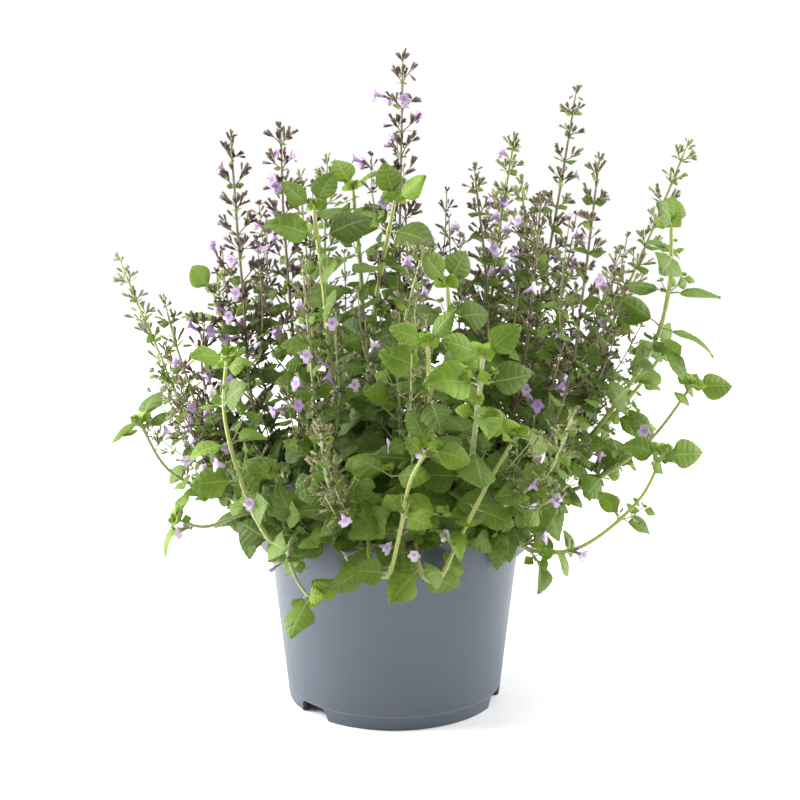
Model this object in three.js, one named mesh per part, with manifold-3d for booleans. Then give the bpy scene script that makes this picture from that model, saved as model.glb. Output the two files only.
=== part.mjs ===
// Potted lesser calamint: a nursery pot filled with soil, from which many square stems grow.
// Upright stems end in loose spikes of small calyces and two-lipped flowers, leafy shoots end in a
// rosette, and trailing stems arch over the rim. Millimetres, +Z up, the front faces -Y, and the
// origin is the centre of the ring that the pot stands on.
import * as THREE from 'three';
import { mergeVertices } from 'three/addons/utils/BufferGeometryUtils.js';
import Module from 'manifold-3d';

const wasm = await Module();
wasm.setup();

// Pot
const POT_SIDES = 32;
const POT_HEIGHT = 121;
const RIM_RADIUS = 85;
const RIM_LOWER_RADIUS = 81.7;
const RIM_BAND = 23.5;
const WALL_TOP_RADIUS = 75;
const FOOT_RADIUS = 64;
const WALL = 1.7;
const EDGE_ROUND = 0.8;
const LIP_ROUND = 1.2;
const STEP_ROUND = 1.6;
const FOOT_WIDTH = 2.8;
const FOOT_DRAFT = 0.6;
const BASE_LIFT = 8.4;
const NOTCH_ANGLES = [-48, 72, 192];
const NOTCH_WIDTH = 26;
const NOTCH_HEIGHT = 8;
const NOTCH_SLOPE = 3;
const NOTCH_CORNER = 2.5;
const DRAIN_COUNT = 6;
const DRAIN_RADIUS = 4;
const DRAIN_CIRCLE = 46;

// Soil
const SOIL_SIDES = 20;
const SOIL_TOP = 107;
const SOIL_RELIEF = 1.3;
const SOIL_EDGE = 50;
const GAP = 0.3;
const HOLE_DEPTH = 12;
const HOLE_CLEAR = 0.5;

// Stems
const ROOT_TOP = 3;
const ROOT_LENGTH = HOLE_DEPTH + ROOT_TOP - GAP;
const START_RISE = 10;
const START_LEAN = 0.05;
const BEND_SAMPLES = 60;
const BEND_PER_STEP = 24;
const STEP_LENGTH = 75;
const LAST_SHARE = 0.98;
const DEGREE = Math.PI / 180;

// Clear space between pieces
const CLEAR = 0.5;
const JOINT_REACH = 9;
const BALL_STEP = 2.5;
const SQUARE_REACH = 1.3;
const NEEDLE_RADIUS = 0.8;
const BLADE_BALL = 0.125;
const CALYX_BALL = 1.1;

// Leaves
const BLADE_OUTLINE = [[0.15, 0.86], [0.5, 1], [0.59, 0.76]];
const BLADE_WIDTH = 0.42;
const STALK_SHARE = 0.26;
const STALK_HALF = 0.55;
const ARCH = 0.16;
const KEEL = 1.2;
const KEEL_SHARE = 0.45;
const FACE_OUT = 0.8;
const FACE_ALONG = 0.35;
const FACE_LIGHT = 0.8;
const LIGHT = new THREE.Vector3(0, -0.7, 0.7);
const LEAF_SPREAD = [0.88, 1.1];
const LEAF_LIFT = [62, 88];
const ROSETTE_RISE = 34;

// Flowers
const CALYX_LONG = 11;
const CALYX_SHORT = 7;
const CALYX_MOUTH = 1.1;
const CALYX_SWAY = 22;
const CALYX_LIFT = [34, 50];
const TIP_LIFT = 16;
const TIP_SHARE = 0.985;
const CYME_START = 0.04;
const CYME_END = 3;
const FLOWER_RADIUS = 3.8;
const FLOWER_WAIST = 0.55;
const FLOWER_SHARE = 0.15;
const FLOWER_DEPTH = 2.6;
const FLOWER_THROAT = 1;
const FLOWER_TILT = new THREE.Vector3(0.3, 0.2, 1);

// Each kind of stem: half its square section at the root and tip, where its leaf pairs start, how
// far apart they are, where along it they end, the first and last blade length, and the spacing of
// the flower clusters above them.
const KINDS = {
  spike: { thick: 1.05, thin: 0.55, from: 28, step: 50, until: 0.56, long: 25, short: 15, cymes: 28 },
  shoot: { thick: 1.6, thin: 1.0, from: 26, step: 43, until: 1, long: 26, short: 19, cymes: 0 },
  trail: { thick: 1.3, thin: 0.8, from: 40, step: 41, until: 0.94, long: 23, short: 13, cymes: 0 },
};

const TONES = { dark: '#7d7467', green: '#8fa468', pale: '#a9bd83' };

// Every stem by kind and tone, with its root on the soil and the points that it passes, tip last.
const STEMS = [
  ['spike', 'dark', [2, 12], [[2, 15, 180], [3, 15, 262], [5, 15, 383]]],
  ['spike', 'dark', [-38, 0], [[-80, 2, 163], [-89, 0, 255], [-94, 0, 338]]],
  ['spike', 'dark', [-26, 26], [[-56, 38, 175], [-66, 45, 270], [-68, 45, 340]]],
  ['spike', 'green', [-14, 40], [[-40, 62, 180], [-43, 68, 262], [-41, 70, 318]]],
  ['spike', 'dark', [-50, -12], [[-94, -8, 140], [-112, -6, 195], [-111, -4, 232]]],
  ['spike', 'green', [-20, -32], [[-42, -50, 150], [-46, -58, 215], [-51, -54, 274]]],
  ['spike', 'green', [2, -32], [[4, -56, 170], [3, -62, 225], [17, -58, 284]]],
  ['spike', 'dark', [34, 18], [[76, 30, 176], [93, 32, 268], [107, 30, 363]]],
  ['spike', 'dark', [52, -24], [[74, -33, 132], [98, -45, 200], [106, -42, 252], [115, -32, 329]]],
  ['spike', 'green', [26, 34], [[54, 46, 172], [61, 50, 255], [72, 50, 333]]],
  ['spike', 'dark', [20, 4], [[51, 15, 179], [55, 20, 245], [47, 20, 318]]],
  ['spike', 'green', [38, 42], [[80, 62, 170], [84, 72, 240], [78, 74, 305]]],
  ['spike', 'dark', [34, -8], [[62, -12, 152], [77, -14, 220], [85, -2, 302]]],
  ['shoot', 'pale', [50, -4], [[105, -10, 152], [144, -28, 212], [155, -38, 253], [155, -42, 296]]],
  ['spike', 'green', [48, 24], [[106, 42, 165], [148, 52, 255], [177, 52, 330]]],
  ['spike', 'dark', [36, 48], [[60, 62, 133], [106, 84, 166], [134, 100, 215], [142, 106, 255]]],
  ['shoot', 'pale', [60, 8], [[100, 12, 138], [141, 22, 178], [163, 26, 207]]],
  ['trail', 'pale', [60, -12], [[83, -17, 128], [112, -24, 137], [146, -36, 166], [170, -52, 206]]],
  ['trail', 'pale', [46, -44], [[61, -61, 127], [76, -69, 112], [106, -70, 114], [138, -66, 140],
    [153, -62, 170]]],
  ['spike', 'green', [-46, 22], [[-116, 50, 142], [-155, 84, 208], [-176, 104, 252]]],
  ['spike', 'green', [-52, 8], [[-106, 18, 148], [-128, 24, 200], [-138, 26, 238]]],
  ['trail', 'green', [-58, -20], [[-76, -25, 128], [-98, -31, 132], [-130, -38, 150], [-147, -40, 182]]],
  ['trail', 'pale', [-40, -48], [[-55, -67, 128], [-66, -84, 120], [-80, -90, 146], [-93, -80, 190],
    [-92, -70, 228]]],
  ['trail', 'green', [-54, -36], [[-69, -45, 128], [-86, -52, 128], [-108, -58, 122], [-126, -60, 128]]],
  ['shoot', 'pale', [-16, -14], [[-33, -20, 175], [-40, -22, 250], [-46, -20, 303]]],
  ['shoot', 'pale', [-4, -4], [[-9, -8, 165], [-12, -8, 230], [1, -8, 306]]],
  ['shoot', 'pale', [16, -20], [[26, -38, 165], [31, -42, 230], [30, -40, 262]]],
  ['shoot', 'pale', [14, -46], [[22, -70, 152], [20, -88, 205], [18, -102, 240]]],
  ['shoot', 'green', [-12, 20], [[-17, 28, 176], [-20, 34, 250], [-25, 34, 308]]],
  ['shoot', 'green', [30, -38], [[40, -76, 150], [45, -104, 200], [47, -124, 238]]],
  ['trail', 'pale', [12, -60], [[12, -83, 129], [14, -98, 110], [24, -101, 104], [36, -100, 128],
    [55, -94, 164], [70, -90, 188]]],
  ['trail', 'pale', [-8, -60], [[-14, -83, 129], [-12, -98, 112], [-3, -104, 108], [4, -110, 138],
    [9, -112, 164], [21, -112, 186]]],
  ['trail', 'green', [-30, -58], [[-44, -74, 128], [-58, -88, 121], [-54, -97, 104], [-44, -102, 92]]],
  ['spike', 'green', [-18, -52], [[-30, -92, 146], [-36, -122, 170], [-38, -142, 202]]],
  ['spike', 'green', [40, -52], [[64, -88, 146], [84, -116, 172], [94, -136, 208]]],
  ['spike', 'green', [-22, 52], [[-42, 92, 175], [-56, 108, 250], [-60, 112, 304]]],
  ['spike', 'dark', [2, 46], [[4, 88, 170], [8, 114, 240], [6, 124, 296]]],
  ['spike', 'green', [20, 52], [[46, 92, 168], [62, 112, 240], [66, 118, 292]]],
  ['shoot', 'green', [-40, 38], [[-84, 78, 152], [-108, 102, 200], [-118, 112, 232]]],
  ['trail', 'green', [-8, 60], [[-12, 80, 129], [-22, 102, 141], [-34, 126, 162], [-40, 138, 196]]],
  ['trail', 'green', [24, 58], [[32, 77, 129], [40, 100, 139], [52, 126, 162], [58, 138, 192]]],
  ['trail', 'green', [50, 34], [[69, 48, 129], [94, 70, 138], [120, 98, 162], [130, 114, 192]]],
];

// Repeatable draws between 0 and 1, one sequence for each stem.
class Draws {
  constructor(seed) {
    this.state = seed;
  }

  next() {
    this.state = (this.state * 48271) % 2147483647;
    return this.state / 2147483647;
  }

  between(low, high) {
    return low + (high - low) * this.next();
  }
}

// Joining and cutting

function signedVolume(positions, indices) {
  const corner = [0, 1, 2].map(() => new THREE.Vector3());
  let total = 0;
  for (let i = 0; i < indices.length; i += 3) {
    corner.forEach((point, k) => point.fromArray(positions, indices[i + k] * 3));
    total += corner[0].dot(corner[1].clone().cross(corner[2]));
  }
  return total / 6;
}

function solidOf(geometry) {
  const bare = geometry.clone();
  bare.deleteAttribute('normal');
  bare.deleteAttribute('uv');
  const merged = mergeVertices(bare, 1e-4);
  const vertProperties = new Float32Array(merged.attributes.position.array);
  const triVerts = new Uint32Array(merged.index.array);
  if (signedVolume(vertProperties, triVerts) < 0) {
    triVerts.reverse();
  }
  return new wasm.Manifold(new wasm.Mesh({ numProp: 3, vertProperties, triVerts }));
}

function geometryOf(solid) {
  const mesh = solid.getMesh();
  const geometry = new THREE.BufferGeometry();
  geometry.setAttribute('position', new THREE.BufferAttribute(new Float32Array(mesh.vertProperties), 3));
  geometry.setIndex(new THREE.BufferAttribute(new Uint32Array(mesh.triVerts), 1));
  return geometry;
}

function meshOf(name, geometry, colour, roughness) {
  const material = new THREE.MeshStandardMaterial({ color: colour, roughness, metalness: 0 });
  const mesh = new THREE.Mesh(geometry, material);
  mesh.name = name;
  return mesh;
}

function turned(profile, sides) {
  const points = profile.map(([radius, height]) => new THREE.Vector2(radius, height));
  return new THREE.LatheGeometry(points, sides).rotateX(Math.PI / 2);
}

// Pot: a thin moulded wall with a wide stepped rim band, a lifted base plate with drain holes, and
// a foot ring with three slope-sided notches.

const RIM_BASE = POT_HEIGHT - RIM_BAND;
const RIM_FLOOR = RIM_BASE + WALL;

function rimOuterRadius(height) {
  return RIM_LOWER_RADIUS + ((RIM_RADIUS - RIM_LOWER_RADIUS) * (height - RIM_BASE)) / RIM_BAND;
}

function wallOuterRadius(height) {
  return FOOT_RADIUS + ((WALL_TOP_RADIUS - FOOT_RADIUS) * height) / RIM_BASE;
}

function potSolid() {
  const lip = POT_HEIGHT - LIP_ROUND;
  const step = RIM_BASE + STEP_ROUND;
  const floor = BASE_LIFT + WALL;
  const footInside = FOOT_RADIUS - FOOT_WIDTH;
  const profile = [
    [0, BASE_LIFT],
    [footInside - FOOT_DRAFT, BASE_LIFT],
    [footInside, 0],
    [FOOT_RADIUS - EDGE_ROUND, 0],
    [FOOT_RADIUS, EDGE_ROUND],
    [wallOuterRadius(RIM_BASE), RIM_BASE],
    [RIM_LOWER_RADIUS - STEP_ROUND, RIM_BASE],
    [rimOuterRadius(step), step],
    [rimOuterRadius(lip), lip],
    [RIM_RADIUS - EDGE_ROUND, POT_HEIGHT],
    [RIM_RADIUS - WALL, POT_HEIGHT],
    [rimOuterRadius(RIM_FLOOR) - WALL, RIM_FLOOR + EDGE_ROUND],
    [wallOuterRadius(RIM_BASE) - WALL, RIM_FLOOR],
    [wallOuterRadius(BASE_LIFT) - WALL, floor],
    [0, floor],
  ];
  let pot = solidOf(turned(profile, POT_SIDES));
  for (const angle of NOTCH_ANGLES) {
    pot = pot.subtract(solidOf(notchCutter(angle)));
  }
  for (let i = 0; i < DRAIN_COUNT; i += 1) {
    const angle = (i * 2 * Math.PI) / DRAIN_COUNT;
    const hole = new THREE.CylinderGeometry(DRAIN_RADIUS, DRAIN_RADIUS, BASE_LIFT, 8);
    hole.rotateX(Math.PI / 2);
    hole.translate(DRAIN_CIRCLE * Math.cos(angle), DRAIN_CIRCLE * Math.sin(angle), BASE_LIFT);
    pot = pot.subtract(solidOf(hole));
  }
  return pot;
}

// The notch's outline, wide at the ground and narrower at its roof, pushed through the foot ring
// at an angle counted from the front, rightwards.
function notchCutter(angle) {
  const half = NOTCH_WIDTH / 2;
  const shoulder = half - NOTCH_SLOPE;
  const roof = shoulder - NOTCH_CORNER;
  const outline = new THREE.Shape();
  outline.moveTo(-half, -1);
  outline.lineTo(-shoulder, NOTCH_HEIGHT - NOTCH_CORNER);
  outline.lineTo(-roof, NOTCH_HEIGHT);
  outline.lineTo(roof, NOTCH_HEIGHT);
  outline.lineTo(shoulder, NOTCH_HEIGHT - NOTCH_CORNER);
  outline.lineTo(half, -1);
  const cutter = new THREE.ExtrudeGeometry(outline, { depth: NOTCH_WIDTH, bevelEnabled: false });
  cutter.rotateX(Math.PI / 2);
  cutter.translate(0, -FOOT_RADIUS + half, 0);
  cutter.rotateZ(angle * DEGREE);
  return cutter;
}

// Soil: the root ball fills the pot, its top is lumpy, and each stem has a plain hole in it.

function soilHeight(x, y) {
  return SOIL_TOP + SOIL_RELIEF * Math.sin(x * 0.13 + 1) * Math.cos(y * 0.11 - 0.4);
}

// The largest radius that keeps the gap to the pot's faceted inner wall.
function roomInPot(outerRadius) {
  return (outerRadius - WALL) * Math.cos(Math.PI / POT_SIDES) - GAP;
}

function soilSolid(stems) {
  const bottom = BASE_LIFT + WALL + GAP;
  const ledge = RIM_FLOOR + EDGE_ROUND + GAP;
  const profile = [
    [0, bottom],
    [roomInPot(wallOuterRadius(BASE_LIFT)), bottom],
    [roomInPot(wallOuterRadius(RIM_BASE)), ledge],
    [roomInPot(rimOuterRadius(RIM_FLOOR)), ledge],
    [roomInPot(rimOuterRadius(SOIL_TOP)), SOIL_TOP - SOIL_RELIEF],
    [SOIL_EDGE, SOIL_TOP],
    [0, SOIL_TOP],
  ];
  const ball = turned(profile, SOIL_SIDES);
  const position = ball.attributes.position;
  for (let i = 0; i < position.count; i += 1) {
    if (position.getZ(i) > SOIL_TOP - GAP) {
      position.setZ(i, soilHeight(position.getX(i), position.getY(i)));
    }
  }
  let soil = solidOf(ball);
  for (const stem of stems) {
    const radius = Math.SQRT2 * (stem.kind.thick * Math.SQRT2 + HOLE_CLEAR);
    const hole = new THREE.CylinderGeometry(radius, radius, HOLE_DEPTH * 2, 4);
    hole.rotateX(Math.PI / 2);
    hole.translate(stem.root[0], stem.root[1], SOIL_TOP);
    soil = soil.subtract(solidOf(hole));
  }
  return soil;
}

// Stem routes: straight up out of the hole, then through the listed points.

function routeOf(root, points) {
  const low = new THREE.Vector3(root[0], root[1], SOIL_TOP + ROOT_TOP - ROOT_LENGTH);
  const top = low.clone().setZ(SOIL_TOP + ROOT_TOP);
  const bends = points.map((point) => new THREE.Vector3(...point));
  const start = top.clone().lerp(bends[0], START_LEAN).setZ(SOIL_TOP + START_RISE);
  return new THREE.CatmullRomCurve3([low, top, start, ...bends], false, 'catmullrom', 0.5);
}

// The stem is square and straight between its rings. Its place and directions at a share of its
// length are: along it, and out of two of its flat sides.
function frameAt(stem, share) {
  const { marks, rings } = stem;
  const ring = Math.max(0, marks.findLastIndex((mark, i) => mark <= share && i + 1 < marks.length));
  const part = (share - marks[ring]) / (marks[ring + 1] - marks[ring]);
  const place = rings[ring].clone().lerp(rings[ring + 1], part);
  const along = stem.curve.getTangentAt(share);
  const inPlane = stem.across.clone().cross(along).normalize();
  const across = along.clone().cross(inPlane);
  const outA = inPlane.clone().multiplyScalar(Math.cos(stem.twist));
  outA.addScaledVector(across, Math.sin(stem.twist));
  return { place, along, outA, outB: along.clone().cross(outA) };
}

// The rings' shares of the length: the root's end, the soil's surface, and then more the more the
// stem bends.
function marksOf(curve, length) {
  let bend = 0;
  for (let i = 0; i < BEND_SAMPLES; i += 1) {
    const [here, next] = [i / BEND_SAMPLES, (i + 1) / BEND_SAMPLES];
    bend += curve.getTangentAt(here).angleTo(curve.getTangentAt(next));
  }
  const steps = Math.ceil(Math.max(bend / (BEND_PER_STEP * DEGREE), length / STEP_LENGTH));
  const start = ROOT_LENGTH / length;
  const marks = [0];
  for (let i = 0; i <= steps; i += 1) {
    marks.push(Math.min(1, start + ((1 - start) * i) / steps));
  }
  return marks;
}

// The path that the stem's square section is swept along, by its rings. The frames' lengths are
// the section's half width, which gives the stem its taper.
class StemPath extends THREE.Curve {
  constructor(stem) {
    super();
    this.stem = stem;
  }

  getSpacedPoints() {
    return this.stem.rings;
  }

  computeFrenetFrames() {
    const frames = { tangents: [], normals: [], binormals: [] };
    for (const mark of this.stem.marks) {
      const { along, outA, outB } = frameAt(this.stem, mark);
      const half = halfWidthAt(this.stem, mark);
      frames.tangents.push(along);
      frames.normals.push(outA.multiplyScalar(half));
      frames.binormals.push(outB.multiplyScalar(half));
    }
    return frames;
  }
}

function makeStem([kindName, tone, root, points], index) {
  const kind = KINDS[kindName];
  const curve = routeOf(root, points);
  const tip = points[points.length - 1];
  const across = new THREE.Vector3(root[1] - tip[1], tip[0] - root[0], 0).normalize();
  const length = curve.getLength();
  const marks = marksOf(curve, length);
  const rings = marks.map((mark) => curve.getPointAt(mark));
  const draws = new Draws(1000 + index * 37);
  const twist = draws.between(0, 90) * DEGREE;
  const route = { root, curve, across, length, marks, rings, twist };
  return { kind, tone, draws, index, ...route, leaves: [], calyces: [] };
}

function halfWidthAt(stem, share) {
  return stem.kind.thick + (stem.kind.thin - stem.kind.thick) * share;
}

// Clear space: everything that has been placed is a list of balls with an owner, and a new leaf or
// calyx has to keep clear of them all, but for those of its own stem near its joint, and of the pot
// and the soil.

const balls = [];

function addBalls(list, owner) {
  for (const ball of list) {
    balls.push({ ...ball, owner });
  }
}

function clearOfPot(point, radius) {
  const across = Math.hypot(point.x, point.y);
  const reach = radius + CLEAR;
  if (point.z - reach > POT_HEIGHT) {
    return true;
  }
  if (across - reach > RIM_RADIUS) {
    return true;
  }
  return across + reach < roomInPot(RIM_LOWER_RADIUS) && point.z - reach > SOIL_TOP + SOIL_RELIEF;
}

function isClear(list, owner, joint) {
  for (const { point, radius } of list) {
    if (!clearOfPot(point, radius)) {
      return false;
    }
    const nearJoint = point.distanceTo(joint) < JOINT_REACH;
    for (const ball of balls) {
      const reach = radius + ball.radius + CLEAR;
      const own = ball.owner === owner;
      if (own && (nearJoint || ball.point.distanceTo(joint) < JOINT_REACH)) {
        continue;
      }
      if (point.distanceToSquared(ball.point) < reach * reach) {
        return false;
      }
    }
  }
  return true;
}

function stemBalls(stem) {
  const count = Math.ceil(stem.length / BALL_STEP);
  const list = [];
  for (let i = 0; i <= count; i += 1) {
    const radius = halfWidthAt(stem, i / count) * SQUARE_REACH;
    list.push({ point: stem.curve.getPointAt(i / count), radius });
  }
  return list;
}

// Leaves: an ovate toothed blade on a short stalk, arched down towards its tip, its face turned up
// and out to the light. BLADE_OUTLINE gives the share of the blade's length and of its half width,
// on one side, from base to tip.

function leafPlace(stem, share, turn, lift, size) {
  const { place, along, outA, outB } = frameAt(stem, share);
  const outward = outA.multiplyScalar(Math.cos(turn)).addScaledVector(outB, Math.sin(turn));
  const ahead = outward.multiplyScalar(Math.sin(lift)).addScaledVector(along, Math.cos(lift));
  ahead.normalize();
  const face = new THREE.Vector3(place.x, place.y, 0).normalize().multiplyScalar(FACE_OUT);
  face.addScaledVector(along, FACE_ALONG).addScaledVector(LIGHT, FACE_LIGHT);
  face.addScaledVector(ahead, -face.dot(ahead)).normalize();
  const side = ahead.clone().cross(face);
  return { place, ahead, face, side, size, stalk: size * STALK_SHARE + halfWidthAt(stem, share) };
}

function leafPoint(leaf, lengthShare, sideways, rise) {
  const reach = leaf.stalk + leaf.size * lengthShare;
  const point = leaf.place.clone().addScaledVector(leaf.ahead, reach);
  point.addScaledVector(leaf.side, sideways);
  return point.addScaledVector(leaf.face, rise - ARCH * leaf.size * lengthShare * lengthShare);
}

function leafBalls(leaf) {
  const half = leaf.size * BLADE_WIDTH;
  const list = [
    { point: leafPoint(leaf, -0.1, 0, 0), radius: NEEDLE_RADIUS },
    { point: leafPoint(leaf, LAST_SHARE, 0, 0), radius: NEEDLE_RADIUS },
  ];
  for (const [lengthShare, widthShare] of [[0.1, 0.4], [0.32, 0.62], [0.55, 0.58], [0.78, 0.36]]) {
    for (const way of [-1, 0, 1]) {
      const point = leafPoint(leaf, lengthShare, way * widthShare * half, 0);
      list.push({ point, radius: leaf.size * BLADE_BALL });
    }
  }
  return list;
}

// Tries the leaf as drawn, then bent and turned, then smaller: degrees of lift and of turn, and
// the share of its size.
const TRIES = [
  [0, 0, 1], [14, 0, 1], [-14, 0, 1], [0, 20, 1], [0, -20, 1], [26, 0, 0.92], [-26, 0, 0.92],
  [14, 30, 0.85], [14, -30, 0.85], [-14, 30, 0.8], [-14, -30, 0.8], [0, 0, 0.7], [24, 16, 0.6],
];

function placeLeaf(stem, share, turn, lift, size) {
  for (const [liftMore, turnMore, shrink] of TRIES) {
    const leaf = leafPlace(
      stem, share, turn + turnMore * DEGREE, (lift + liftMore) * DEGREE, size * shrink,
    );
    const list = leafBalls(leaf);
    if (isClear(list, stem.index, leaf.place)) {
      addBalls(list, stem.index);
      stem.leaves.push(leaf);
      return;
    }
  }
}

function placeLeafPairs(stem) {
  const { kind, draws, length } = stem;
  const last = length * kind.until;
  const start = kind.from + HOLE_DEPTH;
  const count = Math.max(1, Math.round((last - start) / kind.step));
  for (let i = 0; i <= count; i += 1) {
    const share = (start + ((last - start) * i) / count) / length;
    const size = (kind.long + (kind.short - kind.long) * (i / count)) * draws.between(...LEAF_SPREAD);
    const rise = i === count && kind.until === 1 ? ROSETTE_RISE : 0;
    for (const way of [0, 1]) {
      const turn = (i % 2) * 90 * DEGREE + way * Math.PI;
      const lift = draws.between(...LEAF_LIFT) - rise;
      placeLeaf(stem, Math.min(share, LAST_SHARE), turn, lift, size);
    }
  }
}

// Flower clusters: on both sides of each upper joint, slim calyces on one short common stalk, a
// few of them with an open flower.

function placeCymes(stem) {
  const { kind, draws, length } = stem;
  const start = length * (kind.until + CYME_START);
  const count = Math.floor((length - start - CYME_END) / kind.cymes);
  for (let i = 0; i <= count; i += 1) {
    const share = (start + i * kind.cymes) / length;
    const size = CALYX_LONG + (CALYX_SHORT - CALYX_LONG) * (i / Math.max(1, count));
    for (const way of [0, 1]) {
      const turn = (i % 2) * 90 + way * 180 + draws.between(-CALYX_SWAY, CALYX_SWAY);
      placeCalyx(stem, share, turn * DEGREE, draws.between(...CALYX_LIFT), size);
    }
  }
  placeCalyx(stem, TIP_SHARE, 0, TIP_LIFT, CALYX_SHORT);
}

function placeCalyx(stem, share, turn, lift, size) {
  const { place, along, outA, outB } = frameAt(stem, share);
  const outward = outA.multiplyScalar(Math.cos(turn)).addScaledVector(outB, Math.sin(turn));
  const ahead = outward.multiplyScalar(Math.sin(lift * DEGREE));
  ahead.addScaledVector(along, Math.cos(lift * DEGREE)).normalize();
  const open = stem.draws.next() < FLOWER_SHARE;
  const calyx = { place, ahead, size, open };
  const list = [0.45, 0.75, 1].map((part) => ({
    point: place.clone().addScaledVector(ahead, size * part),
    radius: part === 1 && open ? FLOWER_RADIUS : CALYX_BALL,
  }));
  if (isClear(list, stem.index, place)) {
    addBalls(list, stem.index);
    stem.calyces.push(calyx);
  }
}

// Solids of the plant

function tubeGeometry(stem) {
  const section = new THREE.Shape();
  section.moveTo(1, 1);
  section.lineTo(-1, 1);
  section.lineTo(-1, -1);
  section.lineTo(1, -1);
  const steps = stem.marks.length - 1;
  return new THREE.ExtrudeGeometry(section, { steps, extrudePath: new StemPath(stem) });
}

function geometryFrom(points, triangles) {
  const geometry = new THREE.BufferGeometry();
  geometry.setFromPoints(points);
  geometry.setIndex(triangles.flat());
  return geometry;
}

// The blade is thick at its keel and thins to its edge. The stalk has three edges.
function leafGeometry(leaf) {
  const half = leaf.size * BLADE_WIDTH;
  const rootShare = (0.2 - leaf.stalk) / leaf.size;
  const points = [
    leafPoint(leaf, rootShare, -STALK_HALF, 0),
    leafPoint(leaf, rootShare, STALK_HALF, 0),
    leafPoint(leaf, rootShare, 0, -2 * STALK_HALF),
    leafPoint(leaf, 0, -STALK_HALF, 0),
    ...BLADE_OUTLINE.map(([share, width]) => leafPoint(leaf, share, -width * half, 0)),
    leafPoint(leaf, 1, 0, 0),
    ...BLADE_OUTLINE.toReversed().map(([share, width]) => leafPoint(leaf, share, width * half, 0)),
    leafPoint(leaf, 0, STALK_HALF, 0),
    leafPoint(leaf, KEEL_SHARE, 0, -KEEL),
  ];
  const [rootA, rootB, rootLow, first] = [0, 1, 2, 3];
  const tip = first + BLADE_OUTLINE.length + 1;
  const last = tip + BLADE_OUTLINE.length + 1;
  const keel = last + 1;
  const triangles = [
    [rootA, rootB, rootLow], [rootA, first, last], [rootA, last, rootB], [first, tip, last],
    [rootB, last, keel], [rootB, keel, rootLow], [rootLow, keel, first], [rootLow, first, rootA],
  ];
  for (let i = first; i < last; i += 1) {
    triangles.push([i + 1, i, keel]);
    if (i > first && i + 1 < last) {
      triangles.push([i < tip ? first : last, i, i + 1]);
    }
  }
  return geometryFrom(points, triangles);
}

// A slim three-sided horn from the stem's middle to the calyx's mouth. An open flower widens on
// from the mouth to two lips: one broad lobe above and three below.
function calyxGeometry(calyx) {
  const side = calyx.ahead.clone().cross(FLOWER_TILT).normalize();
  const above = side.clone().cross(calyx.ahead);
  const at = (forward, reach, angle) => {
    const point = calyx.place.clone().addScaledVector(calyx.ahead, forward);
    point.addScaledVector(side, reach * Math.cos(angle));
    return point.addScaledVector(above, reach * Math.sin(angle));
  };
  const points = [at(-0.5, 0, 0)];
  for (let i = 0; i < 3; i += 1) {
    points.push(at(calyx.size, CALYX_MOUTH, (i * 2 * Math.PI) / 3 + 0.4));
  }
  const triangles = [[0, 2, 1], [0, 3, 2], [0, 1, 3]];
  if (!calyx.open) {
    return geometryFrom(points, [...triangles, [1, 2, 3]]);
  }
  for (let i = 0; i < 8; i += 1) {
    const reach = FLOWER_RADIUS * (i % 2 ? FLOWER_WAIST : 1);
    points.push(at(calyx.size + FLOWER_DEPTH, reach, (i * Math.PI) / 4));
  }
  points.push(at(calyx.size + FLOWER_DEPTH - FLOWER_THROAT, 0, 0));
  let inner = 0;
  for (let i = 0; i < 8; i += 1) {
    const [here, next] = [4 + i, 4 + ((i + 1) % 8)];
    triangles.push([here, next, 12], [next, here, 1 + (inner % 3)]);
    if ([2, 5, 7].includes(i)) {
      triangles.push([next, 1 + (inner % 3), 1 + ((inner + 1) % 3)]);
      inner += 1;
    }
  }
  return geometryFrom(points, triangles);
}

function stemSolid(stem) {
  const pieces = [
    solidOf(tubeGeometry(stem)),
    ...stem.leaves.map((leaf) => solidOf(leafGeometry(leaf))),
    ...stem.calyces.map((calyx) => solidOf(calyxGeometry(calyx))),
  ];
  return wasm.Manifold.union(pieces);
}

// Assembly

const stems = STEMS.map(makeStem);
stems.forEach((stem) => addBalls(stemBalls(stem), stem.index));
stems.forEach(placeLeafPairs);
stems.filter((stem) => stem.kind.cymes > 0).forEach(placeCymes);

const plant = new THREE.Group();
plant.add(meshOf('pot', geometryOf(potSolid()), '#6f7882', 0.6));
plant.add(meshOf('soil', geometryOf(soilSolid(stems)), '#2b211a', 0.95));
stems.forEach((stem) => {
  const name = `stem_${String(stem.index + 1).padStart(2, '0')}`;
  plant.add(meshOf(name, geometryOf(stemSolid(stem)), TONES[stem.tone], 0.7));
});

export default plant;
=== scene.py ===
# A potted lesser calamint: square stems with toothed leaves and small lilac flowers, which stand in
# a nursery pot of potting soil. Sizes are in millimetres and MM turns them to metres.
import math
import random

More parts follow.
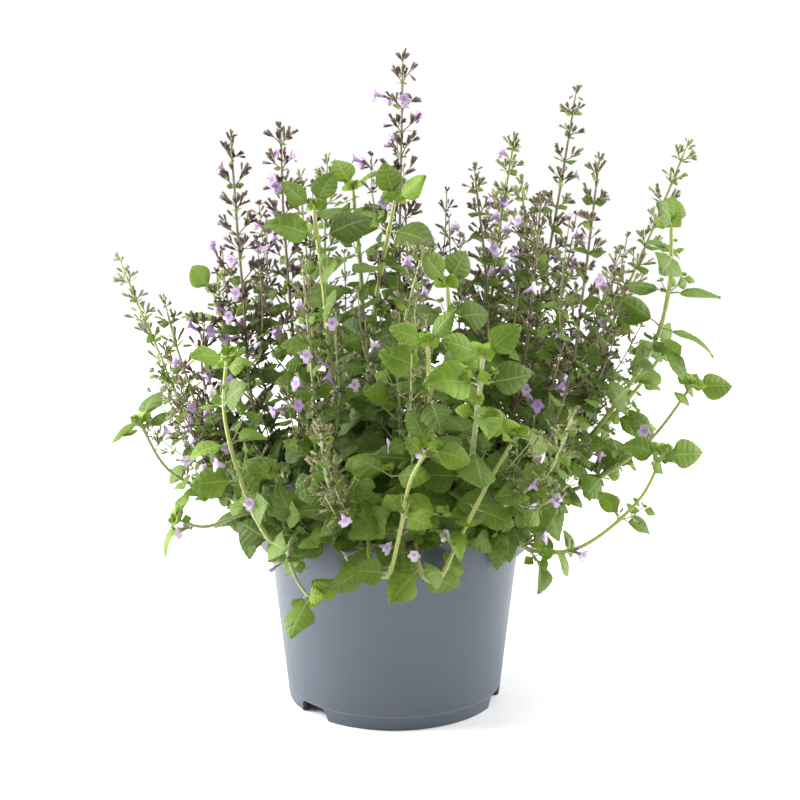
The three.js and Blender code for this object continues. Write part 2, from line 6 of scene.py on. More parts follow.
import bmesh
import bpy
import numpy as np
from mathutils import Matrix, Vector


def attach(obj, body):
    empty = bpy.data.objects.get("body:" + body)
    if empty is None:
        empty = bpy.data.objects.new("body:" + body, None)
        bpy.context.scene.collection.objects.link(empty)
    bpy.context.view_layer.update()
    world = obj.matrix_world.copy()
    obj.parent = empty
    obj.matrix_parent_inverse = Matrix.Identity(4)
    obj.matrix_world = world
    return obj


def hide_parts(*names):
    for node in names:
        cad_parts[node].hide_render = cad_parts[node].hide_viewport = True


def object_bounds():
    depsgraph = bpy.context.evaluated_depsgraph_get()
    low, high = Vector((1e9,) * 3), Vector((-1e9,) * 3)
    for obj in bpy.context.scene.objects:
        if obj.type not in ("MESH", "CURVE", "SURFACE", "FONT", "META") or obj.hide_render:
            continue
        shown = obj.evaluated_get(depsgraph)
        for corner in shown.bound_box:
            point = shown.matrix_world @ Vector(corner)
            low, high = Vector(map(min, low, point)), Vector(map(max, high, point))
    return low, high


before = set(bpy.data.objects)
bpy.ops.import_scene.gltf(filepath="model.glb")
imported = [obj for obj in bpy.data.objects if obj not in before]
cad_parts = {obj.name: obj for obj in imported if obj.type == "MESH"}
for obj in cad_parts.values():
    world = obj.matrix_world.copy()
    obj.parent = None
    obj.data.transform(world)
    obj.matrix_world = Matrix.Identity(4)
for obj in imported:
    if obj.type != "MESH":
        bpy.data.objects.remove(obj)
cad_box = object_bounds()
MM = 0.001

# Nursery pot: one thin moulding of grey-blue polypropylene, with a wide stepped rim band, a lifted
# base plate with drain holes, and a foot ring broken by three notches. It stands on that ring.
POT_SIDES, FINE_SIDES = 32, 160
POT_HEIGHT, RIM_BAND, RIM_RADIUS, RIM_LOWER_RADIUS = 121, 23.5, 85, 81.7
WALL_TOP_RADIUS, FOOT_RADIUS, FOOT_WIDTH, FOOT_DRAFT = 75, 64, 2.8, 0.6
WALL, EDGE_ROUND, LIP_ROUND, STEP_ROUND, BASE_LIFT = 1.7, 0.8, 1.2, 1.6, 8.4
NOTCH_ANGLES, NOTCH_WIDTH, NOTCH_HEIGHT, NOTCH_ROUND = (-48, 72, 192), 26, 8, 3.4
NOTCH_TAPER, CUT_ROUND = 0.78, 0.3
DRAIN_COUNT, DRAIN_RADIUS, DRAIN_CIRCLE, DRAIN_DEPTH = 6, 4, 46, 10
MOULD_LINE, MOULD_STEP, RUBBED_LINE = 4.6, 0.16, 8.5
RIM_BASE = POT_HEIGHT - RIM_BAND
RIM_FLOOR = RIM_BASE + WALL


def rim_radius(height):
    return RIM_LOWER_RADIUS + (RIM_RADIUS - RIM_LOWER_RADIUS) * (height - RIM_BASE) / RIM_BAND


def wall_radius(height):
    return FOOT_RADIUS + (WALL_TOP_RADIUS - FOOT_RADIUS) * height / RIM_BASE


def deselect_all():
    if bpy.context.mode != "OBJECT":
        bpy.ops.object.mode_set(mode="OBJECT")
    bpy.ops.object.select_all(action="DESELECT")


def select_vertices(wanted):
    """Selects the vertices, of the mesh in edit mode, whose place is wanted."""
    mesh = bmesh.from_edit_mesh(bpy.context.object.data)
    for vertex in mesh.verts:
        vertex.select = wanted(vertex.co)
    mesh.select_flush_mode()
    bmesh.update_edit_mesh(bpy.context.object.data)


def turn_profile(name, profile, sides):
    """Draws a ring out along a profile of radius and height, and closes both ends."""
    deselect_all()
    radius, height = profile[0]
    bpy.ops.mesh.primitive_circle_add(vertices=sides, radius=radius * MM, location=(0, 0, height * MM))
    bpy.ops.object.transform_apply(location=True)
    bpy.context.object.name = name
    bpy.ops.object.mode_set(mode="EDIT")
    bpy.ops.mesh.extrude_region_move()
    bpy.ops.mesh.merge(type="CENTER")
    select_vertices(lambda place: place.xy.length > 0.5 * radius * MM)
    for next_radius, next_height in profile[1:]:
        rise = (0, 0, (next_height - height) * MM)
        bpy.ops.mesh.extrude_region_move(TRANSFORM_OT_translate={"value": rise})
        grow = next_radius / radius
        bpy.ops.transform.resize(value=(grow, grow, 1), center_override=(0, 0, 0))
        radius, height = next_radius, next_height
    bpy.ops.mesh.extrude_region_move()
    bpy.ops.mesh.merge(type="CENTER")
    bpy.ops.mesh.select_all(action="SELECT")
    bpy.ops.mesh.remove_doubles(threshold=0.00001)
    bpy.ops.mesh.normals_make_consistent(inside=False)
    bpy.ops.object.mode_set(mode="OBJECT")
    return bpy.context.object


pot = turn_profile(
    "nursery_pot",
    [
        (FOOT_RADIUS - FOOT_WIDTH - FOOT_DRAFT, BASE_LIFT),
        (FOOT_RADIUS - FOOT_WIDTH, 0),
        (FOOT_RADIUS - EDGE_ROUND, 0),
        (FOOT_RADIUS, EDGE_ROUND),
        (wall_radius(MOULD_LINE), MOULD_LINE),
        (wall_radius(MOULD_LINE) + MOULD_STEP, MOULD_LINE + MOULD_STEP),
        (wall_radius(NOTCH_HEIGHT + 2), NOTCH_HEIGHT + 2),
        (wall_radius(RIM_BASE), RIM_BASE),
        (RIM_LOWER_RADIUS - STEP_ROUND, RIM_BASE),
        (RIM_LOWER_RADIUS - STEP_ROUND * 0.3, RIM_BASE + STEP_ROUND * 0.3),
        (rim_radius(RIM_BASE + STEP_ROUND), RIM_BASE + STEP_ROUND),
        (rim_radius(POT_HEIGHT - LIP_ROUND), POT_HEIGHT - LIP_ROUND),
        (RIM_RADIUS - EDGE_ROUND * 0.3, POT_HEIGHT - LIP_ROUND * 0.3),
        (RIM_RADIUS - EDGE_ROUND, POT_HEIGHT),
        (RIM_RADIUS - WALL, POT_HEIGHT),
        (rim_radius(RIM_FLOOR) - WALL, RIM_FLOOR + EDGE_ROUND),
        (wall_radius(RIM_BASE) - WALL, RIM_FLOOR),
        (wall_radius(BASE_LIFT) - WALL, BASE_LIFT + WALL),
    ],
    FINE_SIDES,
)


def cut_away(piece, cutter):
    """Cuts the shape in edit mode, or just made, out of a piece, and takes the cutter away."""
    deselect_all()
    bpy.context.view_layer.objects.active = piece
    piece.select_set(True)
    cut = piece.modifiers.new("cut", "BOOLEAN")
    cut.object, cut.operation, cut.solver = cutter, "DIFFERENCE", "EXACT"
    bpy.ops.object.modifier_apply(modifier=cut.name)
    bpy.data.objects.remove(cutter)


for angle in NOTCH_ANGLES:
    deselect_all()
    bpy.ops.mesh.primitive_cube_add(size=1, location=(0, -FOOT_RADIUS * MM, 0))
    notch = bpy.context.object
    notch.scale = (NOTCH_WIDTH * MM, NOTCH_WIDTH * MM, 2 * NOTCH_HEIGHT * MM)
    bpy.ops.object.transform_apply(location=True, scale=True)
    bpy.ops.object.mode_set(mode="EDIT")
    select_vertices(lambda place: place.z > 0)
    bpy.ops.transform.resize(value=(NOTCH_TAPER, 1, 1), center_override=(0, 0, 0))
    bpy.ops.object.mode_set(mode="OBJECT")
    rounding = notch.modifiers.new("rounding", "BEVEL")
    rounding.width, rounding.segments, rounding.limit_method = NOTCH_ROUND * MM, 6, "ANGLE"
    bpy.ops.object.modifier_apply(modifier=rounding.name)
    notch.rotation_euler.z = math.radians(angle)
    cut_away(pot, notch)

for i in range(DRAIN_COUNT):
    deselect_all()
    angle = i * 2 * math.pi / DRAIN_COUNT
    spot = [DRAIN_CIRCLE * math.cos(angle) * MM, DRAIN_CIRCLE * math.sin(angle) * MM, BASE_LIFT * MM]
    bpy.ops.mesh.primitive_cylinder_add(
        vertices=32, radius=DRAIN_RADIUS * MM, depth=DRAIN_DEPTH * MM, location=spot
    )
    cut_away(pot, bpy.context.object)

soften = pot.modifiers.new("soften", "BEVEL")
soften.width, soften.segments, soften.limit_method = CUT_ROUND * MM, 2, "ANGLE"
soften.angle_limit = math.radians(40)
bpy.ops.object.modifier_apply(modifier=soften.name)
bpy.ops.object.shade_smooth_by_angle(angle=math.radians(32))


def rgb(code):
    """Linear colour of an sRGB hex value."""
    shares = [int(code[i : i + 2], 16) / 255 for i in (1, 3, 5)]
    return (*[s / 12.92 if s <= 0.04045 else ((s + 0.055) / 1.055) ** 2.4 for s in shares], 1)


def add_node(material, kind, inputs=(), **settings):
    """Adds a node with its settings. Each input is a value, or a node or a socket to link from."""
    made = material.node_tree.nodes.new("ShaderNode" + kind)
    for name, value in settings.items():
        setattr(made, name, value)
    for key, value in dict(inputs).items():
        if isinstance(value, bpy.types.Node):
            value = next(socket for socket in value.outputs if socket.enabled)
        if isinstance(value, bpy.types.NodeSocket):
            material.node_tree.links.new(value, made.inputs[key])
        else:
            made.inputs[key].default_value = value
    return made


def new_material(name):
    material = bpy.data.materials.new(name)
    material.use_nodes = True
    material.node_tree.nodes.clear()
    return material


# Moulded polypropylene: an even, slightly waxy matt skin with a fine grain, a few pale rubs from
# stacking, and a dusty bloom, so that its highlights are broad and soft. A faint line that the
# mould left runs round the foot.
plastic = new_material("moulded grey-blue polypropylene")
own = add_node(plastic, "TexCoord").outputs["Object"]
rub_way = add_node(plastic, "Mapping", {"Vector": own, "Scale": (1, 1, 0.12)})
rubs = add_node(plastic, "TexNoise", {"Vector": rub_way, "Scale": 900, "Detail": 3})
rub_share = add_node(plastic, "MapRange", {0: rubs, 1: 0.69, 2: 0.82, 3: 0, 4: 0.14})
height = add_node(plastic, "SeparateXYZ", {0: own}).outputs["Z"]
line_way = add_node(plastic, "Math", {0: height, 1: RUBBED_LINE * MM}, operation="SUBTRACT")
line_off = add_node(plastic, "Math", {0: line_way}, operation="ABSOLUTE")
line_share = add_node(plastic, "MapRange", {0: line_off, 1: 0.0001, 2: 0.00035, 3: 0.3, 4: 0})
worn = add_node(plastic, "Math", {0: rub_share, 1: line_share}, operation="MAXIMUM")
bloom = add_node(plastic, "TexNoise", {"Vector": own, "Scale": 22, "Detail": 4})
dusty = add_node(
    plastic, "Mix",
    {0: bloom, 6: rgb("#424953"), 7: rgb("#49525c")}, data_type="RGBA",
)
skin = add_node(
    plastic, "Mix",
    {0: worn, 6: dusty, 7: rgb("#939da6")}, data_type="RGBA",
)
grain = add_node(plastic, "TexNoise", {"Vector": own, "Scale": 2600, "Detail": 2})
relief = add_node(plastic, "Bump", {"Height": grain, "Strength": 0.16, "Distance": 0.0003})
matt = add_node(plastic, "MapRange", {0: bloom, 3: 0.4, 4: 0.54})
coat = add_node(
    plastic, "BsdfPrincipled",
    {
        "Base Color": skin, "Roughness": matt, "IOR": 1.55,
        "Normal": relief,
    },
)
add_node(plastic, "OutputMaterial", {"Surface": coat})
pot.data.materials.clear()
pot.data.materials.append(plastic)
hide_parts("pot")
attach(pot, "root")

# Potting soil: a root ball of dark peat compost that fills the pot to a finger's width below the rim.
# Its top is lumpy, with loose crumbs, slivers of bark and a few white grains of perlite.
SOIL_TOP, SOIL_RELIEF, GAP = 107, 1.3, 0.3
SOIL_SIDES, SOIL_RINGS, SOIL_LUMPS, EDGE_ROOM = 144, 22, 0.55, 0.5
CRUMBS, SLIVERS, GRAINS = 900, 160, 90
soil_edge = rim_radius(SOIL_TOP) - WALL - GAP - EDGE_ROOM
soil = turn_profile(
    "potting_soil",
    [
        (wall_radius(BASE_LIFT) - WALL - GAP, BASE_LIFT + WALL + GAP),
        (wall_radius(RIM_BASE) - WALL - GAP, RIM_FLOOR + EDGE_ROUND + GAP),
        (rim_radius(RIM_FLOOR) - WALL - GAP - EDGE_ROOM, RIM_FLOOR + EDGE_ROUND + GAP),
        (soil_edge, SOIL_TOP - SOIL_RELIEF),
    ]
    + [(soil_edge * (1 - i / SOIL_RINGS), SOIL_TOP) for i in range(1, SOIL_RINGS)],
    SOIL_SIDES,
)


def soil_height(x, y):
    """The low swell of the soil's top, the same as the part's own."""
    return SOIL_TOP + SOIL_RELIEF * math.sin(x * 0.13 + 1) * math.cos(y * 0.11 - 0.4)


for vertex in soil.data.vertices:
    x, y, z = (value / MM for value in vertex.co)
    if z > SOIL_TOP - GAP:
        lump = math.sin(x * 0.9 + 2 * math.sin(y * 0.7)) * math.sin(y * 1.1 + 1.7 * math.sin(x * 0.5))
        vertex.co.z = (soil_height(x, y) + SOIL_LUMPS * lump) * MM
bpy.ops.object.shade_smooth_by_angle(angle=math.radians(50))


class Growth:
    """Gathers copies of modelled forms, and what is drawn out of code, into one piece's mesh."""

    def __init__(self):
        self.places, self.quads, self.triangles, self.maps, self.tints = [], [], [], [], []
        self.quad_slots, self.triangle_slots = [], []
        self.count = 0

    def add(self, form, places, tint, slot):
        """form is (quads, triangles, map); tint is one number, or one for each vertex."""
        quads, triangles, flat_map = form
        self.places.append(places)
        self.maps.append(flat_map)
        self.tints.append(np.broadcast_to(tint, len(places)))
        self.quads.append(quads + self.count)
        self.triangles.append(triangles + self.count)
        self.quad_slots.append(np.full(len(quads), slot))
        self.triangle_slots.append(np.full(len(triangles), slot))
        self.count += len(places)

    def piece(self, name, materials, body="root"):
        """Makes the mesh of all that was gathered, and its object at the origin."""
        places, maps = np.vstack(self.places) * MM, np.vstack(self.maps)
        quads, triangles = np.vstack(self.quads), np.vstack(self.triangles)
        corners = np.concatenate([quads.ravel(), triangles.ravel()]).astype(np.int32)
        totals = np.concatenate([np.full(len(quads), 4), np.full(len(triangles), 3)])
        mesh = bpy.data.meshes.new(name)
        mesh.vertices.add(len(places))
        mesh.vertices.foreach_set("co", places.astype(np.float32).ravel())
        mesh.loops.add(len(corners))
        mesh.loops.foreach_set("vertex_index", corners)
        mesh.polygons.add(len(totals))
        starts = np.concatenate([[0], np.cumsum(totals)[:-1]]).astype(np.int32)
        mesh.polygons.foreach_set("loop_start", starts)
        slots = np.concatenate(self.quad_slots + self.triangle_slots).astype(np.int32)
        mesh.polygons.foreach_set("material_index", slots)
        mesh.polygons.foreach_set("use_smooth", np.ones(len(totals), bool))
        flat_map = mesh.uv_layers.new(name="UVMap")
        flat_map.data.foreach_set("uv", maps[corners].astype(np.float32).ravel())
        tint = mesh.attributes.new("tint", "FLOAT", "POINT")
        tint.data.foreach_set("value", np.concatenate(self.tints).astype(np.float32))
        for material in materials:
            mesh.materials.append(material)
        mesh.update(calc_edges=True)
        mesh.validate()
        made = bpy.data.objects.new(name, mesh)
        bpy.context.scene.collection.objects.link(made)
        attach(made, body)
        return made


def read_form(model):
    """Takes a modelled form's mesh for copying, and takes its object away."""
    mesh = model.data
    places = np.array([vertex.co for vertex in mesh.vertices])
    corners = [list(face.vertices) for face in mesh.polygons]
    quads = np.array([c for c in corners if len(c) == 4], int).reshape(-1, 4)
    triangles = np.array([c for c in corners if len(c) == 3], int).reshape(-1, 3)
    flat_map = np.zeros((len(places), 2))
    if mesh.uv_layers:
        for loop, corner in zip(mesh.loops, mesh.uv_layers[0].data):
            flat_map[loop.vertex_index] = corner.uv
    bpy.data.objects.remove(model)
    return places, (quads, triangles, flat_map)


def turned_at_random(draws):
    """A turn that is as likely to face any way."""
    turn, _ = np.linalg.qr(np.array([[draws.gauss(0, 1) for _ in range(3)] for _ in range(3)]))
    return turn * np.sign(np.linalg.det(turn))


deselect_all()
bpy.ops.mesh.primitive_ico_sphere_add(subdivisions=1, radius=1, location=(0, 0, 0))
bpy.ops.object.mode_set(mode="EDIT")
bpy.ops.mesh.select_all(action="SELECT")
bpy.ops.transform.vertex_random(offset=0.28, seed=3)
bpy.ops.object.mode_set(mode="OBJECT")
lump_places, lump_form = read_form(bpy.context.object)


def strew(count, size, stretch, tint, seed, rise=0.3):
    """Lumps over the soil's top, turned at random. rise is the share of its size that one lies at."""
    draws = random.Random(seed)
    heap = Growth()
    for _ in range(count):
        radius, angle = math.sqrt(draws.random()) * (soil_edge - 2), draws.uniform(0, 2 * math.pi)
        x, y = radius * math.cos(angle), radius * math.sin(angle)
        across = draws.uniform(*size)
        places = lump_places * np.array([across * stretch, across, across * 0.8])
        places = places @ turned_at_random(draws)
        places = places + np.array([x, y, soil_height(x, y) + across * rise])
        heap.add(lump_form, places, tint * draws.uniform(0.6, 1), 0)
    return heap


# Damp peat: fine dark brown fibre that swallows light, with browner crumbs and bark.
peat = new_material("damp peat compost")
own = add_node(peat, "TexCoord").outputs["Object"]
fibre = add_node(peat, "TexNoise", {"Vector": own, "Scale": 700, "Detail": 5})
tint = add_node(peat, "Attribute", attribute_name="tint").outputs["Fac"]
earth = add_node(
    peat, "Mix",
    {0: fibre, 6: rgb("#140e0a"), 7: rgb("#3d2e22")}, data_type="RGBA",
)
barky = add_node(
    peat, "Mix", {0: tint, 6: earth, 7: rgb("#6b5140")}, data_type="RGBA"
)
crumbly = add_node(peat, "Bump", {"Height": fibre, "Strength": 0.9, "Distance": 0.0012})
ground = add_node(
    peat, "BsdfPrincipled",
    {
        "Base Color": barky, "Roughness": 0.95, "Specular IOR Level": 0.25,
        "Normal": crumbly,
    },
)
add_node(peat, "OutputMaterial", {"Surface": ground})
soil.data.materials.clear()
soil.data.materials.append(peat)
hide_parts("soil")
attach(soil, "root")

# Perlite: puffed white volcanic glass, chalky and full of pores.
perlite = new_material("puffed perlite")
own = add_node(perlite, "TexCoord").outputs["Object"]
pores = add_node(perlite, "TexVoronoi", {"Vector": own, "Scale": 2200})
chalky = add_node(
    perlite, "Mix",
    {0: pores, 6: rgb("#b9b2a4"), 7: rgb("#dcd8ce")}, data_type="RGBA",
)
puffed = add_node(perlite, "BsdfPrincipled", {"Base Color": chalky, "Roughness": 0.9})
add_node(perlite, "OutputMaterial", {"Surface": puffed})
for name, heap, material in (
    ("soil_crumbs", strew(CRUMBS, (0.6, 2.3), 1.2, 0.35, 11), peat),
    ("bark_slivers", strew(SLIVERS, (0.35, 0.8), 5.5, 1.0, 12, 1.0), peat),
    ("perlite_grains", strew(GRAINS, (0.7, 1.5), 1.1, 0, 13), perlite),
):
    heap.piece(name, [material])

# Stems: 42 square hairy stems of one root stock. Upright ones flower, thick pale ones are leafy to
# the tip, and weak ones trail over the rim. Each grows out of the soil along the route of the part's
# own stem, which is given by its root and the points that it passes.
KINDS = {
    "spike": dict(thick=1.05, thin=0.55, start=28, step=50, until=0.56, long=25, short=15, cymes=28),
    "shoot": dict(thick=1.6, thin=1.0, start=26, step=43, until=1, long=26, short=19, cymes=0),
    "trail": dict(thick=1.3, thin=0.8, start=40, step=41, until=0.94, long=23, short=13, cymes=0),
}
STEMS = [
    ["spike", "dark", [2, 12], [[2, 15, 180], [3, 15, 262], [5, 15, 383]]],
    ["spike", "dark", [-38, 0], [[-80, 2, 163], [-89, 0, 255], [-94, 0, 338]]],
    ["spike", "dark", [-26, 26], [[-56, 38, 175], [-66, 45, 270], [-68, 45, 340]]],
    ["spike", "green", [-14, 40], [[-40, 62, 180], [-43, 68, 262], [-41, 70, 318]]],
    ["spike", "dark", [-50, -12], [[-94, -8, 140], [-112, -6, 195], [-111, -4, 232]]],
    ["spike", "green", [-20, -32], [[-42, -50, 150], [-46, -58, 215], [-51, -54, 274]]],
    ["spike", "green", [2, -32], [[4, -56, 170], [3, -62, 225], [17, -58, 284]]],
    ["spike", "dark", [34, 18], [[76, 30, 176], [93, 32, 268], [107, 30, 363]]],
    ["spike", "dark", [52, -24], [[74, -33, 132], [98, -45, 200], [106, -42, 252], [115, -32, 329]]],
    ["spike", "green", [26, 34], [[54, 46, 172], [61, 50, 255], [72, 50, 333]]],
    ["spike", "dark", [20, 4], [[51, 15, 179], [55, 20, 245], [47, 20, 318]]],
    ["spike", "green", [38, 42], [[80, 62, 170], [84, 72, 240], [78, 74, 305]]],
    ["spike", "dark", [34, -8], [[62, -12, 152], [77, -14, 220], [85, -2, 302]]],
    ["shoot", "pale", [50, -4], [[105, -10, 152], [144, -28, 212], [155, -38, 253], [155, -42, 296]]],
    ["spike", "green", [48, 24], [[106, 42, 165], [148, 52, 255], [177, 52, 330]]],
    ["spike", "dark", [36, 48], [[60, 62, 133], [106, 84, 166], [134, 100, 215], [142, 106, 255]]],
    ["shoot", "pale", [60, 8], [[100, 12, 138], [141, 22, 178], [163, 26, 207]]],
    ["trail", "pale", [60, -12], [[83, -17, 128], [112, -24, 137], [146, -36, 166], [170, -52, 206]]],
    ["trail", "pale", [46, -44], [[61, -61, 127], [76, -69, 112], [106, -70, 114], [138, -66, 140],
      [153, -62, 170]]],
    ["spike", "green", [-46, 22], [[-116, 50, 142], [-155, 84, 208], [-176, 104, 252]]],
    ["spike", "green", [-52, 8], [[-106, 18, 148], [-128, 24, 200], [-138, 26, 238]]],
    ["trail", "green", [-58, -20], [[-76, -25, 128], [-98, -31, 132], [-130, -38, 150], [-147, -40, 182]]],
    ["trail", "pale", [-40, -48], [[-55, -67, 128], [-66, -84, 120], [-80, -90, 146], [-93, -80, 190],
      [-92, -70, 228]]],
    ["trail", "green", [-54, -36], [[-69, -45, 128], [-86, -52, 128], [-108, -58, 122], [-126, -60, 128]]],
    ["shoot", "pale", [-16, -14], [[-33, -20, 175], [-40, -22, 250], [-46, -20, 303]]],
    ["shoot", "pale", [-4, -4], [[-9, -8, 165], [-12, -8, 230], [1, -8, 306]]],
    ["shoot", "pale", [16, -20], [[26, -38, 165], [31, -42, 230], [30, -40, 262]]],
    ["shoot", "pale", [14, -46], [[22, -70, 152], [20, -88, 205], [18, -102, 240]]],
    ["shoot", "green", [-12, 20], [[-17, 28, 176], [-20, 34, 250], [-25, 34, 308]]],
    ["shoot", "green", [30, -38], [[40, -76, 150], [45, -104, 200], [47, -124, 238]]],
    ["trail", "pale", [12, -60], [[12, -83, 129], [14, -98, 110], [24, -101, 104], [36, -100, 128],
      [55, -94, 164], [70, -90, 188]]],
    ["trail", "pale", [-8, -60], [[-14, -83, 129], [-12, -98, 112], [-3, -104, 108], [4, -110, 138],
      [9, -112, 164], [21, -112, 186]]],
    ["trail", "green", [-30, -58], [[-44, -74, 128], [-58, -88, 121], [-54, -97, 104], [-44, -102, 92]]],
    ["spike", "green", [-18, -52], [[-30, -92, 146], [-36, -122, 170], [-38, -142, 202]]],
    ["spike", "green", [40, -52], [[64, -88, 146], [84, -116, 172], [94, -136, 208]]],
    ["spike", "green", [-22, 52], [[-42, 92, 175], [-56, 108, 250], [-60, 112, 304]]],
    ["spike", "dark", [2, 46], [[4, 88, 170], [8, 114, 240], [6, 124, 296]]],
    ["spike", "green", [20, 52], [[46, 92, 168], [62, 112, 240], [66, 118, 292]]],
    ["shoot", "green", [-40, 38], [[-84, 78, 152], [-108, 102, 200], [-118, 112, 232]]],
    ["trail", "green", [-8, 60], [[-12, 80, 129], [-22, 102, 141], [-34, 126, 162], [-40, 138, 196]]],
    ["trail", "green", [24, 58], [[32, 77, 129], [40, 100, 139], [52, 126, 162], [58, 138, 192]]],
    ["trail", "green", [50, 34], [[69, 48, 129], [94, 70, 138], [120, 98, 162], [130, 114, 192]]],
]
HOLE_DEPTH, ROOT_TOP = 12, 3
ROOT_LENGTH = HOLE_DEPTH + ROOT_TOP - GAP
START_RISE, START_LEAN = 10, 0.05
BEND_SAMPLES, BEND_PER_STEP, STEP_LENGTH = 60, 24, 75
LAST_SHARE = 0.98


class Draws:
    """Repeatable draws between 0 and 1, the same ones as the part's own stems are grown by."""

    def __init__(self, seed):
        self.state = seed

    def next(self):
        self.state = (self.state * 48271) % 2147483647
        return self.state / 2147483647

    def between(self, low, high):
        return low + (high - low) * self.next()


def unit(vector):
    return vector / max(np.linalg.norm(vector), 1e-12)


def turned(out_a, out_b, turn):
    """The way out at a turn, in radians, between two ways that are square to each other."""
    return out_a * math.cos(turn) + out_b * math.sin(turn)


def lifted(out, along, lift):
    """A way out that is tipped up to a lift, in radians, off the way along."""
    return out * math.sin(lift) + along * math.cos(lift)


class Route:
    """A smooth curve through points, read by the share of its length."""

    DIVISIONS = 200
    TANGENT_STEP = 0.0001

    def __init__(self, points):
        points = np.array(points, float)
        ends = 2 * points[0] - points[1], 2 * points[-1] - points[-2]
        self.points = np.vstack([ends[0], points, ends[1]])
        self.spans = len(points) - 1
        points = self.at(np.linspace(0, 1, self.DIVISIONS + 1))
        steps = np.linalg.norm(np.diff(points, axis=0), axis=1)
        self.reached = np.concatenate([[0], np.cumsum(steps)])
        self.length = self.reached[-1]

    def at(self, t):
        spot = np.asarray(t, float) * self.spans
        span = np.minimum(np.floor(spot).astype(int), self.spans - 1)
        w = (spot - span)[..., None]
        before, start, end, after = (self.points[span + k] for k in range(4))
        leave, arrive = (end - before) / 2, (after - start) / 2
        square = -3 * start + 3 * end - 2 * leave - arrive
        cube = 2 * start - 2 * end + leave + arrive
        return start + w * (leave + w * (square + w * cube))

    def t_of(self, share):
        return np.interp(share * self.length, self.reached, np.linspace(0, 1, self.DIVISIONS + 1))

    def place(self, share):
        return self.at(self.t_of(share))

    def along(self, share):
        t = self.t_of(share)
        low = np.maximum(t - self.TANGENT_STEP, 0)
        high = np.minimum(t + self.TANGENT_STEP, 1)
        way = self.at(high) - self.at(low)
        return way / np.linalg.norm(way, axis=-1, keepdims=True)


def marks_of(route):
    ways = route.along(np.linspace(0, 1, BEND_SAMPLES + 1))
    bend = np.arccos(np.clip((ways[1:] * ways[:-1]).sum(axis=1), -1, 1)).sum()
    steps = math.ceil(max(bend / math.radians(BEND_PER_STEP), route.length / STEP_LENGTH))
    start = ROOT_LENGTH / route.length
    return np.array([0] + [min(1, start + (1 - start) * i / steps) for i in range(steps + 1)])


class Stem:
    def __init__(self, index, kind_name, tone, root, bends):
        low = np.array([*root, SOIL_TOP + ROOT_TOP - ROOT_LENGTH], float)
        top = np.array([*root, SOIL_TOP + ROOT_TOP], float)
        start = top + (np.array(bends[0]) - top) * START_LEAN
        start[2] = SOIL_TOP + START_RISE
        self.index, self.kind_name, self.tone, self.root = index, kind_name, tone, root
        self.kind = KINDS[kind_name]
        self.route = Route([low, top, start, *bends])
        self.length = self.route.length
        tip = bends[-1]
        self.across = unit(np.array([root[1] - tip[1], tip[0] - root[0], 0.0]))
        self.marks = marks_of(self.route)
        self.rings = self.route.place(self.marks)
        self.draws = Draws(1000 + index * 37)
        self.twist = math.radians(self.draws.between(0, 90))
        self.leaves, self.calyces, self.crowded = [], [], []

    def half_width(self, share):
        return self.kind["thick"] + (self.kind["thin"] - self.kind["thick"]) * share

    def frames(self, shares):
        """Smooth places, ways along the stem, and the ways out of two of its flat sides."""
        along = self.route.along(shares)
        in_plane = np.cross(self.across, along)
        in_plane /= np.linalg.norm(in_plane, axis=-1, keepdims=True)
        across = np.cross(along, in_plane)
        out_a = in_plane * math.cos(self.twist) + across * math.sin(self.twist)
        return self.route.place(shares), along, out_a, np.cross(along, out_a)

    def step_place(self, share):
        """The place on the part's own stem, which is straight between its rings."""
        ring = max(0, np.searchsorted(self.marks[:-1], share, side="right") - 1)
        part = (share - self.marks[ring]) / (self.marks[ring + 1] - self.marks[ring])
        return self.rings[ring] + (self.rings[ring + 1] - self.rings[ring]) * part


# Clear space: what has been placed is kept as balls with an owner, and a leaf or calyx keeps clear
# of them, of the pot and of the soil.
CLEAR, JOINT_REACH, BALL_STEP, SQUARE_REACH = 0.5, 9, 2.5, 1.3
balls = dict(points=np.zeros((0, 3)), radii=np.zeros(0), owners=np.zeros(0, int))


def add_balls(points, radii, owner):
    balls["points"] = np.vstack([balls["points"], points])
    balls["radii"] = np.concatenate([balls["radii"], radii])
    balls["owners"] = np.concatenate([balls["owners"], np.full(len(radii), owner)])


def room_in_pot(outer_radius):
    return (outer_radius - WALL) * math.cos(math.pi / POT_SIDES) - GAP


def clear_of_pot(points, radii):
    across, reach = np.hypot(points[:, 0], points[:, 1]), radii + CLEAR
    low = points[:, 2] - reach
    inside = (across + reach < room_in_pot(RIM_LOWER_RADIUS)) & (low > SOIL_TOP + SOIL_RELIEF)
    return bool(((low > POT_HEIGHT) | (across - reach > RIM_RADIUS) | inside).all())


def is_clear(points, radii, owner, joint):
    if not clear_of_pot(points, radii):
        return False
    gaps = np.linalg.norm(points[:, None] - balls["points"][None], axis=2)
    touching = gaps < radii[:, None] + balls["radii"][None] + CLEAR
    near = np.linalg.norm(points - joint, axis=1) < JOINT_REACH
    near_ball = np.linalg.norm(balls["points"] - joint, axis=1) < JOINT_REACH
    excused = (balls["owners"] == owner)[None] & (near[:, None] | near_ball[None])
    return not (touching & ~excused).any()


# A stem is drawn out in rings of eight points, a square with its edges taken off, and is wider at
# its joints. Short white hairs stand out of it.
SQUARE = np.array(
    [[1, 0.5], [0.5, 1], [-0.5, 1], [-1, 0.5], [-1, -0.5], [-0.5, -1], [0.5, -1], [1, -0.5]]
)
RING_STEP, JOINT_SWELL, JOINT_LENGTH, TIP_TAPER = 4.5, 0.3, 2.4, 7
HAIR_LENGTH, HAIR_WIDTH, HAIRS_PER_MM = 1.1, 0.09, 2.6
NO_QUADS = np.zeros((0, 4), int)


